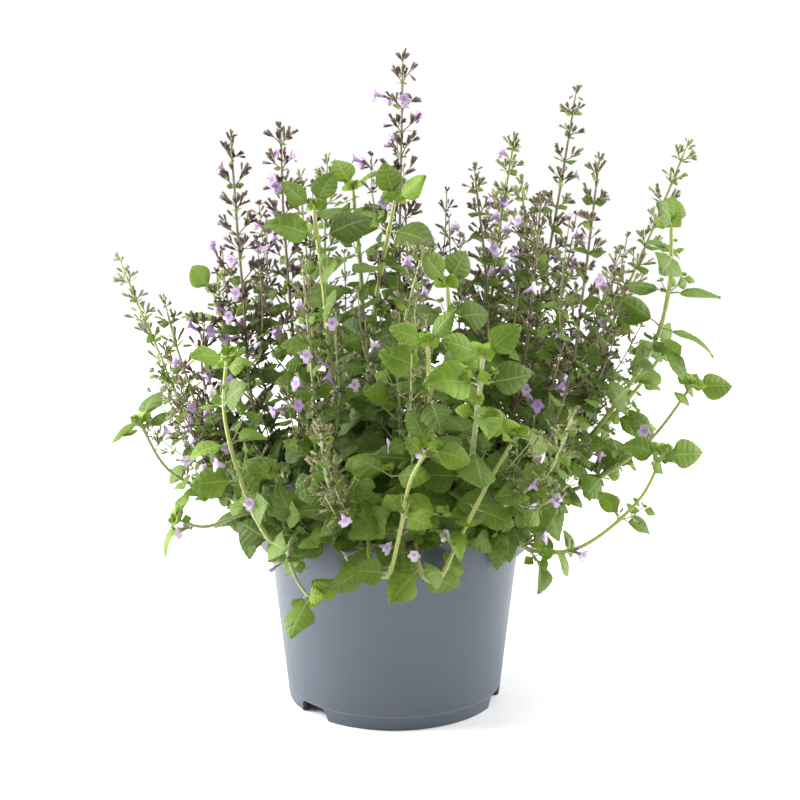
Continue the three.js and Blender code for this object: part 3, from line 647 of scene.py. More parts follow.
def tube_form(rings, sides):
    """Faces and map of a tube from its rings, one after the other, and the point of its tip."""
    around = np.arange(sides)
    quads = []
    for ring in range(rings - 1):
        low, high = ring * sides + around, (ring + 1) * sides + around
        quads.append(np.stack([low, np.roll(low, -1), np.roll(high, -1), high], axis=1))
    last = (rings - 1) * sides + around
    cap = np.stack([last, np.roll(last, -1), np.full(sides, rings * sides)], axis=1)
    across = np.tile(around / sides, rings)
    along = np.repeat(np.arange(rings) / (rings - 1), sides)
    return np.vstack(quads), cap, np.vstack([np.stack([across, along], axis=1), [[0.5, 1]]])


def add_hairs(growth, frames, half_widths, rng):
    """Fine three-sided hairs that stand out of a stem, bent a little up or down."""
    places, along, out_a, out_b = frames
    count = len(places)
    turn = rng.uniform(0, 2 * math.pi, (count, 1))
    way = out_a * np.cos(turn) + out_b * np.sin(turn)
    side = np.cross(way, along)
    foot = places + way * half_widths[:, None] * 0.95
    lean = way + along * rng.uniform(-0.5, 0.3, (count, 1))
    tip = foot + lean * HAIR_LENGTH * rng.uniform(0.6, 1.2, (count, 1))
    corners = [
        foot + (along * math.cos(angle) + side * math.sin(angle)) * HAIR_WIDTH
        for angle in (0, 2 * math.pi / 3, 4 * math.pi / 3)
    ]
    points = np.stack([*corners, tip], axis=1).reshape(-1, 3)
    starts = np.arange(count)[:, None] * 4
    triangles = np.vstack([starts + corner for corner in ([0, 1, 3], [1, 2, 3], [2, 0, 3])])
    growth.add((NO_QUADS, triangles, np.zeros((len(points), 2))), points, 1.0, HAIR)


def draw_stem(growth, stem, rng):
    """The stem itself. Its tint goes from 0 at the soil to 1 at its tip."""
    shares = np.linspace(0, 1, math.ceil(stem.length / RING_STEP) + 1)
    places, along, out_a, out_b = stem.frames(shares)
    gaps = (np.array(stem.joints)[:, None] - shares) * stem.length / JOINT_LENGTH
    half = stem.half_width(shares) * (1 + JOINT_SWELL * np.exp(-(gaps**2)).max(axis=0))
    half *= np.clip((1 - shares) * stem.length / TIP_TAPER, 0.35, 1)
    out = SQUARE[:, 0, None, None] * out_a + SQUARE[:, 1, None, None] * out_b
    rings = (places + half[None, :, None] * out).transpose(1, 0, 2).reshape(-1, 3)
    tip = places[-1] + along[-1] * half[-1]
    tints = np.append(np.repeat(shares, len(SQUARE)), 1)
    growth.add(tube_form(len(shares), len(SQUARE)), np.vstack([rings, tip]), tints, STEM)
    hairy = rng.uniform((ROOT_LENGTH + 1) / stem.length, 1, int(stem.length * HAIRS_PER_MM))
    add_hairs(growth, stem.frames(hairy), stem.half_width(hairy), rng)


def draw_twig(growth, points, thick, thin, tint, slot, sides=5):
    """A thin round stalk through points, from one radius to the other."""
    points = np.array(points)
    ways = np.gradient(points, axis=0)
    ways /= np.linalg.norm(ways, axis=1, keepdims=True)
    aside = unit(np.cross(ways[0], (0.31, 0.52, 0.79)))
    first = np.cross(ways, aside)
    first /= np.linalg.norm(first, axis=1, keepdims=True)
    second = np.cross(ways, first)
    radii = np.linspace(thick, thin, len(points))[:, None, None]
    turn = 2 * math.pi * np.arange(sides)[None, :, None] / sides
    rings = points[:, None] + radii * (first[:, None] * np.cos(turn) + second[:, None] * np.sin(turn))
    tip = points[-1] + ways[-1] * thin
    growth.add(tube_form(len(points), sides), np.vstack([rings.reshape(-1, 3), tip]), tint, slot)


# Slots of a grown piece, in the order of its materials.
STEM, TWIG, LEAF, CALYX, PETAL, HAIR = range(6)


def stem_skin(name, low, high, dark_streak):
    """Ribbed plant skin, from its colour at the soil to that at the tip, streaked along its length."""
    skin = new_material(name)
    age = add_node(skin, "Attribute", attribute_name="tint").outputs["Fac"]
    own = add_node(skin, "TexCoord").outputs["Object"]
    streak_way = add_node(skin, "Mapping", {"Vector": own, "Scale": (1, 1, 0.15)})
    streaks = add_node(skin, "TexNoise", {"Vector": streak_way, "Scale": 1100, "Detail": 2})
    body = add_node(skin, "Mix", {0: age, 6: rgb(low), 7: rgb(high)}, data_type="RGBA")
    share = add_node(skin, "MapRange", {0: streaks, 1: 0.45, 2: 0.75, 3: 0, 4: 0.6})
    streaked = add_node(skin, "Mix", {0: share, 6: body, 7: rgb(dark_streak)}, data_type="RGBA")
    ribs = add_node(skin, "Bump", {"Height": streaks, "Strength": 0.5, "Distance": 0.0003})
    shader = add_node(
        skin, "BsdfPrincipled",
        {
            "Base Color": streaked, "Roughness": 0.6, "Sheen Weight": 0.35,
            "Normal": ribs,
        },
    )
    add_node(skin, "OutputMaterial", {"Surface": shader})
    return skin


# Living stem skin: waxy and green, paler and softer with hair on the leafy shoots, and browned to
# purple in the sun on the flowering ones.
SKINS = {
    "pale": stem_skin("hairy pale green stem skin", "#929a52", "#a4ac50", "#808746"),
    "green": stem_skin("green stem skin", "#86985a", "#949c5e", "#716f4a"),
    "dark": stem_skin("purple-brown stem skin", "#877f5a", "#80705a", "#65504a"),
}

# Plant hair: clear cells full of air that look white.
hair_skin = new_material("white plant hair")
air = add_node(
    hair_skin, "BsdfPrincipled", {"Base Color": rgb("#dfdfc4"), "Roughness": 0.7}
)
add_node(hair_skin, "OutputMaterial", {"Surface": air})


# Leaves: soft ovate blades with shallow teeth and sunken veins, each on a short stalk, in pairs that
# cross each other up the stem. They grow out of its joints, and turn their faces up to the light.
BLADE_WIDTH, STALK_SHARE, ARCH = 0.42, 0.26, 0.16
FACE_OUT, FACE_ALONG, FACE_LIGHT = 0.8, 0.35, 0.8
LIGHT = np.array([0, -0.7, 0.7])
NEEDLE_RADIUS, BLADE_BALL = 0.8, 0.125
LEAF_SPREAD, LEAF_LIFT, ROSETTE_RISE = (0.88, 1.1), (62, 88), 34
# Degrees of lift and of turn, and the share of its size, that a leaf is tried at until it is clear.
TRIES = [
    (0, 0, 1), (14, 0, 1), (-14, 0, 1), (0, 20, 1), (0, -20, 1), (26, 0, 0.92), (-26, 0, 0.92),
    (14, 30, 0.85), (14, -30, 0.85), (-14, 30, 0.8), (-14, -30, 0.8), (0, 0, 0.7), (24, 16, 0.6),
]


class Leaf:
    def __init__(self, place, ahead, along, size, stalk):
        self.place, self.ahead, self.size, self.stalk = place, unit(ahead), size, stalk
        outward = unit(np.array([place[0], place[1], 0.0]))
        face = outward * FACE_OUT + along * FACE_ALONG + LIGHT * FACE_LIGHT
        self.face = unit(face - self.ahead * face.dot(self.ahead))
        self.side = np.cross(self.ahead, self.face)

    def point(self, length_share, sideways, rise):
        """A place on the blade, or many, by the share of its length, sideways, and off its face."""
        reach = self.stalk + self.size * length_share
        drop = ARCH * self.size * length_share * length_share
        place = self.place + np.multiply.outer(reach, self.ahead)
        place = place + np.multiply.outer(sideways, self.side)
        return place + np.multiply.outer(rise - drop, self.face)

    def balls(self):
        half = self.size * BLADE_WIDTH
        points = [self.point(-0.1, 0, 0), self.point(LAST_SHARE, 0, 0)]
        radii = [NEEDLE_RADIUS, NEEDLE_RADIUS]
        for length_share, width_share in ((0.1, 0.4), (0.32, 0.62), (0.55, 0.58), (0.78, 0.36)):
            for way in (-1, 0, 1):
                points.append(self.point(length_share, way * width_share * half, 0))
                radii.append(self.size * BLADE_BALL)
        return np.array(points), np.array(radii)


def leaf_at(stem, share, turn, lift, size, step_place=None):
    """A leaf whose stalk leaves the stem at a share of its length, or the part's straight step."""
    place, along, out_a, out_b = stem.frames(share)
    ahead = lifted(turned(out_a, out_b, turn), along, lift)
    place = place if step_place is None else step_place
    return Leaf(place, ahead, along, size, size * STALK_SHARE + stem.half_width(share))


def place_leaf(stem, share, turn, lift, size):
    for lift_more, turn_more, shrink in TRIES:
        new_turn, new_lift = turn + math.radians(turn_more), math.radians(lift + lift_more)
        leaf = leaf_at(stem, share, new_turn, new_lift, size * shrink, stem.step_place(share))
        points, radii = leaf.balls()
        if is_clear(points, radii, stem.index, leaf.place):
            add_balls(points, radii, stem.index)
            leaf.place, leaf.share = stem.route.place(share), share
            stem.leaves.append(leaf)
            return
    stem.crowded.append((share, turn, lift, size))


def place_leaf_pairs(stem):
    kind, draws = stem.kind, stem.draws
    last, start = stem.length * kind["until"], kind["start"] + HOLE_DEPTH
    count = max(1, math.floor((last - start) / kind["step"] + 0.5))
    stem.leaf_shares = []
    for i in range(count + 1):
        share = (start + (last - start) * i / count) / stem.length
        stem.leaf_shares.append(min(share, LAST_SHARE))
        size = kind["long"] + (kind["short"] - kind["long"]) * i / count
        size *= draws.between(*LEAF_SPREAD)
        rise = ROSETTE_RISE if i == count and kind["until"] == 1 else 0
        for way in (0, 1):
            turn = (i % 2) * math.pi / 2 + way * math.pi
            place_leaf(stem, min(share, LAST_SHARE), turn, draws.between(*LEAF_LIFT) - rise, size)


# A leaf is modelled from a grid whose rows run along the side veins, every second one a vein that
# ends in a tooth. The blade is one long and lies along +Y with its face up.
SLANT, TOOTH, TOOTH_AHEAD, PUCKER, MARGIN_DROP = 0.21, 0.008, 0.005, 0.006, 0.05


def blade_half(along):
    return BLADE_WIDTH * math.sin(math.pi * min(1, max(0.004, along)) ** 0.75) ** 0.8


def model_leaf(columns, rows):
    deselect_all()
    bpy.ops.mesh.primitive_grid_add(
        x_subdivisions=columns, y_subdivisions=rows, size=1, location=(0, 0.5, 0)
    )
    bpy.ops.object.transform_apply(location=True)
    bpy.ops.object.mode_set(mode="EDIT")
    for row in range(rows, -1, -1):
        height = row / rows
        slant = SLANT * min(1, height / 0.15) ** 0.8 * (1 - height) ** 0.6
        way = 1 if row % 2 == 0 and 0 < row < rows else -1
        half = blade_half(height + slant) + (TOOTH * way if 1 < row < rows else 0)
        half = max(half, 0.03 if row == 0 else 0.008)
        select_vertices(lambda place: abs(place.y - height) < 0.001)
        bpy.ops.transform.resize(value=(2 * half, 1, 1), center_override=(0, 0, 0))
        for low, high, reach, rise in (
            (0.75, 1.1, 1.0, -MARGIN_DROP),
            (0.2, 0.74, 0.42, -PUCKER * way + 0.012),
        ):
            select_vertices(
                lambda place: abs(place.y - height) < 0.001 and low * half < abs(place.x) < high * half
            )
            ahead = slant * reach + (TOOTH_AHEAD * way if reach == 1.0 and row > 1 else 0)
            bpy.ops.transform.translate(value=(0, ahead, rise))
    bpy.ops.object.mode_set(mode="OBJECT")
    return read_form(bpy.context.object)


# From this size on, in millimetres, each with its own mesh.
BLADES = {14: model_leaf(4, 14), 8: model_leaf(4, 8), 0: model_leaf(2, 6)}


def grow_leaf(growth, leaf, tint, rng, stalked=True):
    """A blade bent and folded a little its own way, and its stalk."""
    places, form = next(BLADES[size] for size in BLADES if leaf.size >= size)
    x, y, z = places.T
    rise = z + rng.uniform(-0.1, 0.6) * np.abs(x) - rng.uniform(0.1, 1.1) * x**2
    rise = rise + rng.uniform(-0.3, 0.04) * y**3
    rise = rise + rng.uniform(0, 0.04) * np.sin(8 * y + rng.uniform(0, 6)) * np.abs(x) / BLADE_WIDTH
    roll = rng.uniform(-0.45, 0.45) + rng.uniform(-0.45, 0.45) * y
    across = x * np.cos(roll) - rise * np.sin(roll)
    rise = x * np.sin(roll) + rise * np.cos(roll)
    growth.add(form, leaf.point(y, across * leaf.size, rise * leaf.size), tint, LEAF)
    if not stalked:
        return
    thick = 0.2 + 0.017 * leaf.size
    steps = np.linspace(-leaf.stalk / leaf.size, 0.1, 3)
    stalk = leaf.point(steps, np.zeros(3), np.array([0, 0.35, -thick]))
    draw_twig(growth, stalk, thick, thick * 0.7, 0.6, TWIG, 5 if leaf.size > 14 else 3)


# Soft leaf blade: matt, finely downy green with paler sunken veins and a puckered skin. Its
# underside is greyer, and light comes through it yellow-green, more in young leaves.
blade = new_material("downy green leaf blade")
flat_map = add_node(blade, "UVMap", uv_map="UVMap")
split = add_node(blade, "SeparateXYZ", {0: flat_map})
# The tint attribute is a leaf's youth, lowered on left-hand stems as painted shade and raised on
# right-hand ones as painted light.
youth_and_painted_light = add_node(blade, "Attribute", attribute_name="tint").outputs["Fac"]
own = add_node(blade, "TexCoord").outputs["Object"]
side_count = add_node(blade, "Math", {0: split.outputs["Y"], 1: 5.5}, operation="MULTIPLY")
side_gap = add_node(blade, "Math", {0: side_count, 1: 0.5}, operation="PINGPONG")
side_vein = add_node(blade, "MapRange", {0: side_gap, 1: 0.0, 2: 0.07, 3: 0.6, 4: 0})
side_puff = add_node(blade, "MapRange", {0: side_gap, 2: 0.4}, interpolation_type="SMOOTHSTEP")
mid_gap = add_node(blade, "Math", {0: split.outputs["X"], 1: 0.5}, operation="SUBTRACT")
mid_off = add_node(blade, "Math", {0: mid_gap}, operation="ABSOLUTE")
mid_vein = add_node(blade, "MapRange", {0: mid_off, 1: 0.01, 2: 0.035, 3: 1, 4: 0})
mid_puff = add_node(blade, "MapRange", {0: mid_off, 2: 0.16}, interpolation_type="SMOOTHSTEP")
puff = add_node(blade, "Math", {0: side_puff, 1: mid_puff}, operation="MINIMUM")
veins = add_node(blade, "Math", {0: side_vein, 1: mid_vein}, operation="MAXIMUM")
mesh_veins = add_node(
    blade, "TexVoronoi", {"Vector": own, "Scale": 620}, feature="DISTANCE_TO_EDGE"
)
blotch = add_node(blade, "TexNoise", {"Vector": own, "Scale": 95, "Detail": 3})
green = add_node(
    blade, "Mix", {0: youth_and_painted_light, 6: rgb("#3f5117"), 7: rgb("#84a428")}, data_type="RGBA"
)
blotch_share = add_node(blade, "MapRange", {0: blotch, 1: 0.4, 2: 0.65, 3: 0, 4: 0.5})
mottled = add_node(
    blade, "Mix",
    {0: blotch_share, 6: green, 7: rgb("#3b5712")}, data_type="RGBA",
)
net_share = add_node(blade, "MapRange", {0: mesh_veins, 1: 0, 2: 0.16, 3: 0.2, 4: 0})
netted = add_node(
    blade, "Mix",
    {0: net_share, 6: mottled, 7: rgb("#7f9a50")}, data_type="RGBA",
)
vein_share = add_node(blade, "Math", {0: veins, 1: 0.42}, operation="MULTIPLY")
veined = add_node(
    blade, "Mix",
    {0: vein_share, 6: netted, 7: rgb("#9db26a")}, data_type="RGBA",
)
behind = add_node(blade, "NewGeometry").outputs["Backfacing"]
behind_share = add_node(blade, "Math", {0: behind, 1: 0.45}, operation="MULTIPLY")
two_sided = add_node(
    blade, "Mix",
    {0: behind_share, 6: veined, 7: rgb("#889d68")}, data_type="RGBA",
)
vein_relief = add_node(blade, "Bump", {"Height": puff, "Strength": 0.5, "Distance": 0.0004})
net_relief = add_node(
    blade, "Bump",
    {
        "Height": mesh_veins, "Strength": 0.45, "Distance": 0.0003,
        "Normal": vein_relief,
    },
)
leaf_skin = add_node(
    blade, "BsdfPrincipled",
    {
        "Base Color": two_sided, "Roughness": 0.52, "Specular IOR Level": 0.24,
        "Sheen Weight": 0.07,
        "Normal": net_relief,
    },
)
through = add_node(
    blade, "Mix", {0: youth_and_painted_light, 6: rgb("#688622"), 7: rgb("#8fae30")}, data_type="RGBA"
)
lit_through = add_node(blade, "BsdfTranslucent", {"Color": through})
sheet = add_node(blade, "MixShader", {0: 0.22, 1: leaf_skin, 2: lit_through})
add_node(blade, "OutputMaterial", {"Surface": sheet})


# Side shoots: short twigs out of the leaf joints, with a few smaller leaf pairs and a tuft of tiny
# leaves at the tip. At the foot of the stems they hide the soil.
UP = np.array([0, 0, 1.0])


def grow_tuft(growth, place, along, size, tint, rng):
    """Tiny young leaves that close over a tip."""
    aside = unit(np.cross(along, (0.31, 0.52, 0.79)))
    other = np.cross(along, aside)
    for i in range(5):
        turn, lift = i * 1.4 + rng.uniform(0, 0.5), math.radians(18 + 11 * i)
        long = size * (0.45 + 0.1 * i)
        leaf = Leaf(place, lifted(turned(aside, other, turn), along, lift), along, long, long * 0.12)
        grow_leaf(growth, leaf, min(1, tint + 0.2), rng, stalked=False)


def grow_side_shoot(growth, place, way, length, long, tint, rng, bend=(0.3, 1.1)):
    """Bends up from its joint, or down. It isn't grown if it would meet the pot or the soil."""
    middle = place + way * length * 0.45 + UP * length * 0.08
    tip = middle + unit(way + UP * rng.uniform(*bend)) * length * 0.55
    route = Route([place, place + way * length * 0.15, middle, tip])
    shares = np.linspace(0, 1, 6)
    points = route.place(shares)
    if not clear_of_pot(points[2:], np.full(4, 0.8)):
        return
    draw_twig(growth, points, 0.35 + 0.012 * length, 0.3, 0.5, TWIG, 4)
    pairs = 1 if length < 12 else 2 if length < 26 else 3
    for i in range(pairs):
        share = 0.4 + 0.5 * i / max(1, pairs - 1)
        joint, along = route.place(share), route.along(share)
        aside = unit(np.cross(along, UP + 0.01))
        other = np.cross(along, aside)
        for turn in (0, math.pi):
            turn += math.pi / 2 * (i % 2) + rng.uniform(-0.4, 0.4)
            lift = math.radians(rng.uniform(50, 85))
            ahead = lifted(turned(aside, other, turn), along, lift)
            size = long * (1 - 0.35 * i / pairs) * rng.uniform(0.8, 1.1)
            leaf = Leaf(joint, ahead, along, size, size * STALK_SHARE)
            if clear_of_pot(*leaf.balls()):
                grow_leaf(growth, leaf, np.clip(tint + rng.uniform(-0.15, 0.15), 0, 1), rng)
    grow_tuft(growth, points[-1], route.along(1), 3.2 + 0.12 * long, tint, rng)



# Flower clusters: slim ribbed calyces on thin forked stalks out of the upper joints, a few of them
# with an open two-lipped flower. They are dark on the sunned stems and green on the others.
CALYX_LONG, CALYX_SHORT, CALYX_SWAY, CALYX_LIFT, CALYX_BALL = 11, 7, 22, (34, 50), 1.1
TIP_SHARE, TIP_LIFT = 0.985, 16
CYME_START, CYME_END = 0.04, 3
FLOWER_RADIUS, FLOWER_SHARE = 3.8, 0.15


def place_calyx(stem, share, turn, lift, size):
    _, along, out_a, out_b = stem.frames(share)
    place = stem.step_place(share)
    ahead = unit(lifted(turned(out_a, out_b, turn), along, lift))
    is_open = stem.draws.next() < FLOWER_SHARE
    points = np.array([place + ahead * size * part for part in (0.45, 0.75, 1)])
    radii = np.array([CALYX_BALL, CALYX_BALL, FLOWER_RADIUS if is_open else CALYX_BALL])
    if is_clear(points, radii, stem.index, place):
        add_balls(points, radii, stem.index)
        stem.calyces.append(dict(ahead=ahead, size=size, open=is_open, share=share))


def place_cymes(stem):
    kind, draws = stem.kind, stem.draws
    start = stem.length * (kind["until"] + CYME_START)
    count = math.floor((stem.length - start - CYME_END) / kind["cymes"])
    for i in range(count + 1):
        share = (start + i * kind["cymes"]) / stem.length
        size = CALYX_LONG + (CALYX_SHORT - CALYX_LONG) * i / max(1, count)
        for way in (0, 1):
            turn = (i % 2) * 90 + way * 180 + draws.between(-CALYX_SWAY, CALYX_SWAY)
            lift = math.radians(draws.between(*CALYX_LIFT))
            place_calyx(stem, share, math.radians(turn), lift, size)
    place_calyx(stem, TIP_SHARE, 0, math.radians(TIP_LIFT), CALYX_SHORT)


# A calyx is modelled as a ribbed five-millimetre tube with pointed teeth round its mouth, and a
# flower as a tube that opens to a notched upper lip and a lower lip of three lobes.
CALYX_SIDES, CALYX_TALL, TEETH = 6, 4.1, 0.9
PETAL_SIDES, LIP_HEIGHT, LIP_REACH = 16, 6.9, 3.7
calyx_model = turn_profile("calyx", [(0.2, 0), (0.6, 1.0), (0.78, CALYX_TALL)], CALYX_SIDES)
bpy.ops.object.mode_set(mode="EDIT")
select_vertices(lambda place: place.z > 0.004 and place.xy.length < 0.0001)
bpy.ops.transform.translate(value=(0, 0, -1.2 * MM))
select_vertices(
    lambda place: abs(place.z - CALYX_TALL * MM) < 0.0001
    and round(math.degrees(math.atan2(place.x, place.y)) / 60) % 2 == 0
)
bpy.ops.transform.translate(value=(0, 0, TEETH * MM))
bpy.ops.transform.resize(value=(1.15, 1.15, 1), center_override=(0, 0, 0))
bpy.ops.object.mode_set(mode="OBJECT")
calyx_places, calyx_form = read_form(calyx_model)
calyx_places = calyx_places / MM

flower_model = turn_profile(
    "flower", [(0.45, 0), (1.3, 5.5), (LIP_REACH, LIP_HEIGHT), (1.3, 6.1)], PETAL_SIDES
)
bpy.ops.object.mode_set(mode="EDIT")


def at_lip(place, low, high):
    """Whether a place is on the lips' edge between two angles off the lower lip's middle."""
    angle = abs(math.degrees(math.atan2(place.x, -place.y)))
    return place.xy.length > 0.8 * LIP_REACH * MM and low <= angle <= high


for low, high, grow, rise in (
    (0, 1, 1.18, -1.0), (22, 23, 1.08, -0.8), (44, 46, 0.7, -0.2), (67, 68, 1.0, -0.4),
    (89, 91, 0.92, -0.2), (112, 113, 0.62, 0.3), (134, 136, 0.8, 0.8), (157, 158, 0.88, 1.1),
    (179, 181, 0.7, 1.2),
):
    select_vertices(lambda place: at_lip(place, low, high))
    bpy.ops.transform.resize(value=(grow, grow, 1), center_override=(0, 0, 0))
    bpy.ops.transform.translate(value=(0, 0, rise * MM))
bpy.ops.object.mode_set(mode="OBJECT")
flower_places, flower_form = read_form(flower_model)
flower_places = flower_places / MM


def height_map(form, places, tall):
    """Gives a turned form a map by the way round it and the share of its height."""
    quads, triangles, _ = form
    around = np.arctan2(places[:, 0], -places[:, 1]) / (2 * math.pi) + 0.5
    return quads, triangles, np.stack([around, np.hypot(*places[:, :2].T) / tall], axis=1)


calyx_form = height_map(calyx_form, calyx_places, 1)
calyx_form[2][:, 1] = calyx_places[:, 2] / (CALYX_TALL + TEETH)
flower_form = height_map(flower_form, flower_places, LIP_REACH * 1.22)


def stand_up(places, foot, way, size, above=UP):
    """Turns a form that stands up to face along a way, with its +Y side above, and puts it there."""
    side = unit(np.cross(way, above + np.array([0.01, 0.02, 0])))
    up = np.cross(side, way)
    return foot + size * (places[:, :1] * side + places[:, 1:2] * up + places[:, 2:] * way)


def grow_calyx(growth, foot, way, size, tint, rng, flower=None):
    """A calyx standing out from its foot. flower is the tint of an open flower in it, from pale to lilac.
    """
    growth.add(calyx_form, stand_up(calyx_places, foot, way, size), tint, CALYX)
    if flower is not None:
        nod = unit(way - UP * rng.uniform(0, 0.35) + unit(way * (1, 1, 0)) * 0.3)
        petals = stand_up(flower_places, foot + way * size * 2.2, nod, rng.uniform(0.98, 1.2))
        growth.add(flower_form, petals, flower, PETAL)


def grow_cyme(growth, place, way, along, reach, count, tint, rng, flowers):
    """A loose cluster: a stalk that forks, and a bundle of slim calyces at each of its ends."""
    aside = unit(np.cross(way, along + 0.01))
    fork = place + way * reach * rng.uniform(0.25, 0.4)
    stalk_tint = 0.35 + 0.4 * tint
    middle = (place + fork) / 2 + UP * 0.2
    draw_twig(growth, [place, middle, fork], 0.42, 0.32, stalk_tint, CALYX, 4)
    ends = [(fork, unit(way + UP * rng.uniform(0, 0.5)))]
    for side in (-1, 1):
        out = unit(way + aside * side * rng.uniform(0.4, 1.2) + UP * rng.uniform(-0.1, 0.7))
        end = fork + out * reach * rng.uniform(0.12, 0.34)
        draw_twig(growth, [fork, end], 0.32, 0.28, stalk_tint, CALYX, 3)
        ends.append((end, out))
    for i in range(count):
        end, ahead = ends[(i + 1) % 3]
        out = unit(ahead + rng.normal(0, 0.32, 3))
        foot = end + out * rng.uniform(0.6, 1 + 0.14 * reach)
        size = rng.uniform(0.85, 1.2) * min(1, 0.55 + reach / 26)
        draw_twig(growth, [end, foot], 0.26, 0.22, stalk_tint, CALYX, 3)
        flower = rng.uniform(0, 1) if rng.random() < flowers else None
        ripe = np.clip(tint + rng.uniform(-0.25, 0.2), 0, 1)
        grow_calyx(growth, foot, out, size, ripe, rng, flower)


# Calyx skin: ribbed and downy, green in the shade and dark purple-brown in the sun.
calyx_skin = new_material("downy calyx skin")
ripe = add_node(calyx_skin, "Attribute", attribute_name="tint").outputs["Fac"]
own = add_node(calyx_skin, "TexCoord").outputs["Object"]
down = add_node(calyx_skin, "TexNoise", {"Vector": own, "Scale": 1500, "Detail": 2})
flat_map = add_node(calyx_skin, "UVMap", uv_map="UVMap")
reach = add_node(calyx_skin, "SeparateXYZ", {0: flat_map}).outputs["Y"]
mouth = add_node(calyx_skin, "MapRange", {0: reach, 1: 0.05, 2: 0.6, 3: -0.4, 4: 0.35})
browned = add_node(calyx_skin, "Math", {0: ripe, 1: mouth}, operation="ADD")
sunned = add_node(
    calyx_skin, "Mix", {0: browned, 6: rgb("#8b9650"), 7: rgb("#392215")}, data_type="RGBA"
)
down_share = add_node(calyx_skin, "MapRange", {0: down, 1: 0.4, 2: 0.7, 3: 0, 4: 0.3})
downy = add_node(
    calyx_skin, "Mix",
    {0: down_share, 6: sunned, 7: rgb("#785b3e")}, data_type="RGBA",
)
ribbed = add_node(
    calyx_skin, "BsdfPrincipled", {"Base Color": downy, "Roughness": 0.7, "Sheen Weight": 0.12}
)
add_node(calyx_skin, "OutputMaterial", {"Surface": ribbed})

# Petals: thin and matt, lilac or nearly white, with a deeper violet throat.
petal = new_material("lilac petal")
hue = add_node(petal, "Attribute", attribute_name="tint").outputs["Fac"]
flat_map = add_node(petal, "UVMap", uv_map="UVMap")
reach = add_node(petal, "SeparateXYZ", {0: flat_map}).outputs["Y"]
lips = add_node(
    petal, "Mix", {0: hue, 6: rgb("#f6e8f3"), 7: rgb("#c8a6da")}, data_type="RGBA"
)
throat_share = add_node(petal, "MapRange", {0: reach, 1: 0.12, 2: 0.5, 3: 0.85, 4: 0})
throat = add_node(
    petal, "Mix",
    {0: throat_share, 6: lips, 7: rgb("#a274ba")}, data_type="RGBA",
)
petal_skin = add_node(
    petal, "BsdfPrincipled", {"Base Color": throat, "Roughness": 0.6, "Sheen Weight": 0.2}
)
petal_light = add_node(petal, "BsdfTranslucent", {"Color": rgb("#cbb0d6")})
petal_sheet = add_node(petal, "MixShader", {0: 0.2, 1: petal_skin, 2: petal_light})
add_node(petal, "OutputMaterial", {"Surface": petal_sheet})


# Growing: every stem takes its leaves and calyces at the places where the part's own stems have
# them. Then comes what the part leaves out: the leaf pairs and clusters between, side shoots, side
# branches, the crown's low leaves, and the buds at the tips.
stems = [Stem(index, *row) for index, row in enumerate(STEMS)]
for stem in stems:
    steps = math.ceil(stem.length / BALL_STEP)
    shares = np.arange(steps + 1) / steps
    add_balls(stem.route.place(shares), stem.half_width(shares) * SQUARE_REACH, stem.index)
for stem in stems:
    place_leaf_pairs(stem)
for stem in stems:
    if stem.kind["cymes"]:
        place_cymes(stem)

# How young the leaves are at a stem's foot and at its tip, how ripe its calyces, and the share of
# them in flower. A stem that ends right of SUNNY_SIDE has greener calyces and fewer flowers, and its
# leaves are made lighter as painted light; left of SHADY_SIDE its leaves are made darker as painted
# shade.
YOUTH = {"spike": (0.08, 0.28), "shoot": (0.02, 0.32), "trail": (0.12, 0.4)}
RIPENESS = {"dark": 0.9, "green": 0.35, "pale": 0.15}
IN_FLOWER = {"dark": 0.04, "green": 0.02, "pale": 0.02}
# The middle number lightens the leaves of stems that end right of SUNNY_SIDE, as painted light.
SUNNY_SIDE, SUNNY_PAINTED_LIGHT, SUNNY_RIPENESS = 30, 0.2, 0.6
# The middle number darkens the leaves of stems that end left of SHADY_SIDE, as painted shade.
SHADY_SIDE, SHADY_PAINTED_SHADE, YOUTH_SPREAD = -60, -0.17, 0.14


def tint_at(stem, share, rng):
    low, high = YOUTH[stem.kind_name]
    side = stem.rings[-1][0]
    # Painted light and shade: leaves of stems ending left of SHADY_SIDE are darkened, right of SUNNY_SIDE
    # lightened.
    low += SUNNY_PAINTED_LIGHT if side > SUNNY_SIDE else SHADY_PAINTED_SHADE if side < SHADY_SIDE else 0
    return float(np.clip(low + (high - low) * share + rng.normal(0, YOUTH_SPREAD), 0, 1))


def grow_between(growth, stem, share, size, turn, rng):
    """A pair of leaves that the part leaves out."""
    for way in (0, math.pi):
        lift = math.radians(rng.uniform(55, 90))
        aside = turn + way + rng.uniform(-0.3, 0.3)
        leaf = leaf_at(stem, share, aside, lift, size * rng.uniform(0.85, 1.1))
        if clear_of_pot(*leaf.balls()):
            grow_leaf(growth, leaf, tint_at(stem, share, rng), rng)


def grow_axils(growth, stem, share, turn, length, long, chance, rng):
    """Side shoots out of both axils of a leaf joint."""
    place, along, out_a, out_b = stem.frames(share)
    for way in (0, math.pi):
        if rng.random() > chance:
            continue
        out = turned(out_a, out_b, turn + way + rng.uniform(-0.3, 0.3))
        ahead = unit(lifted(out, along, math.radians(rng.uniform(30, 60))))
        size = rng.uniform(0.6, 1.25)
        tint = tint_at(stem, share, rng) + 0.1
        grow_side_shoot(growth, place, ahead, length * size, long * size, tint, rng)


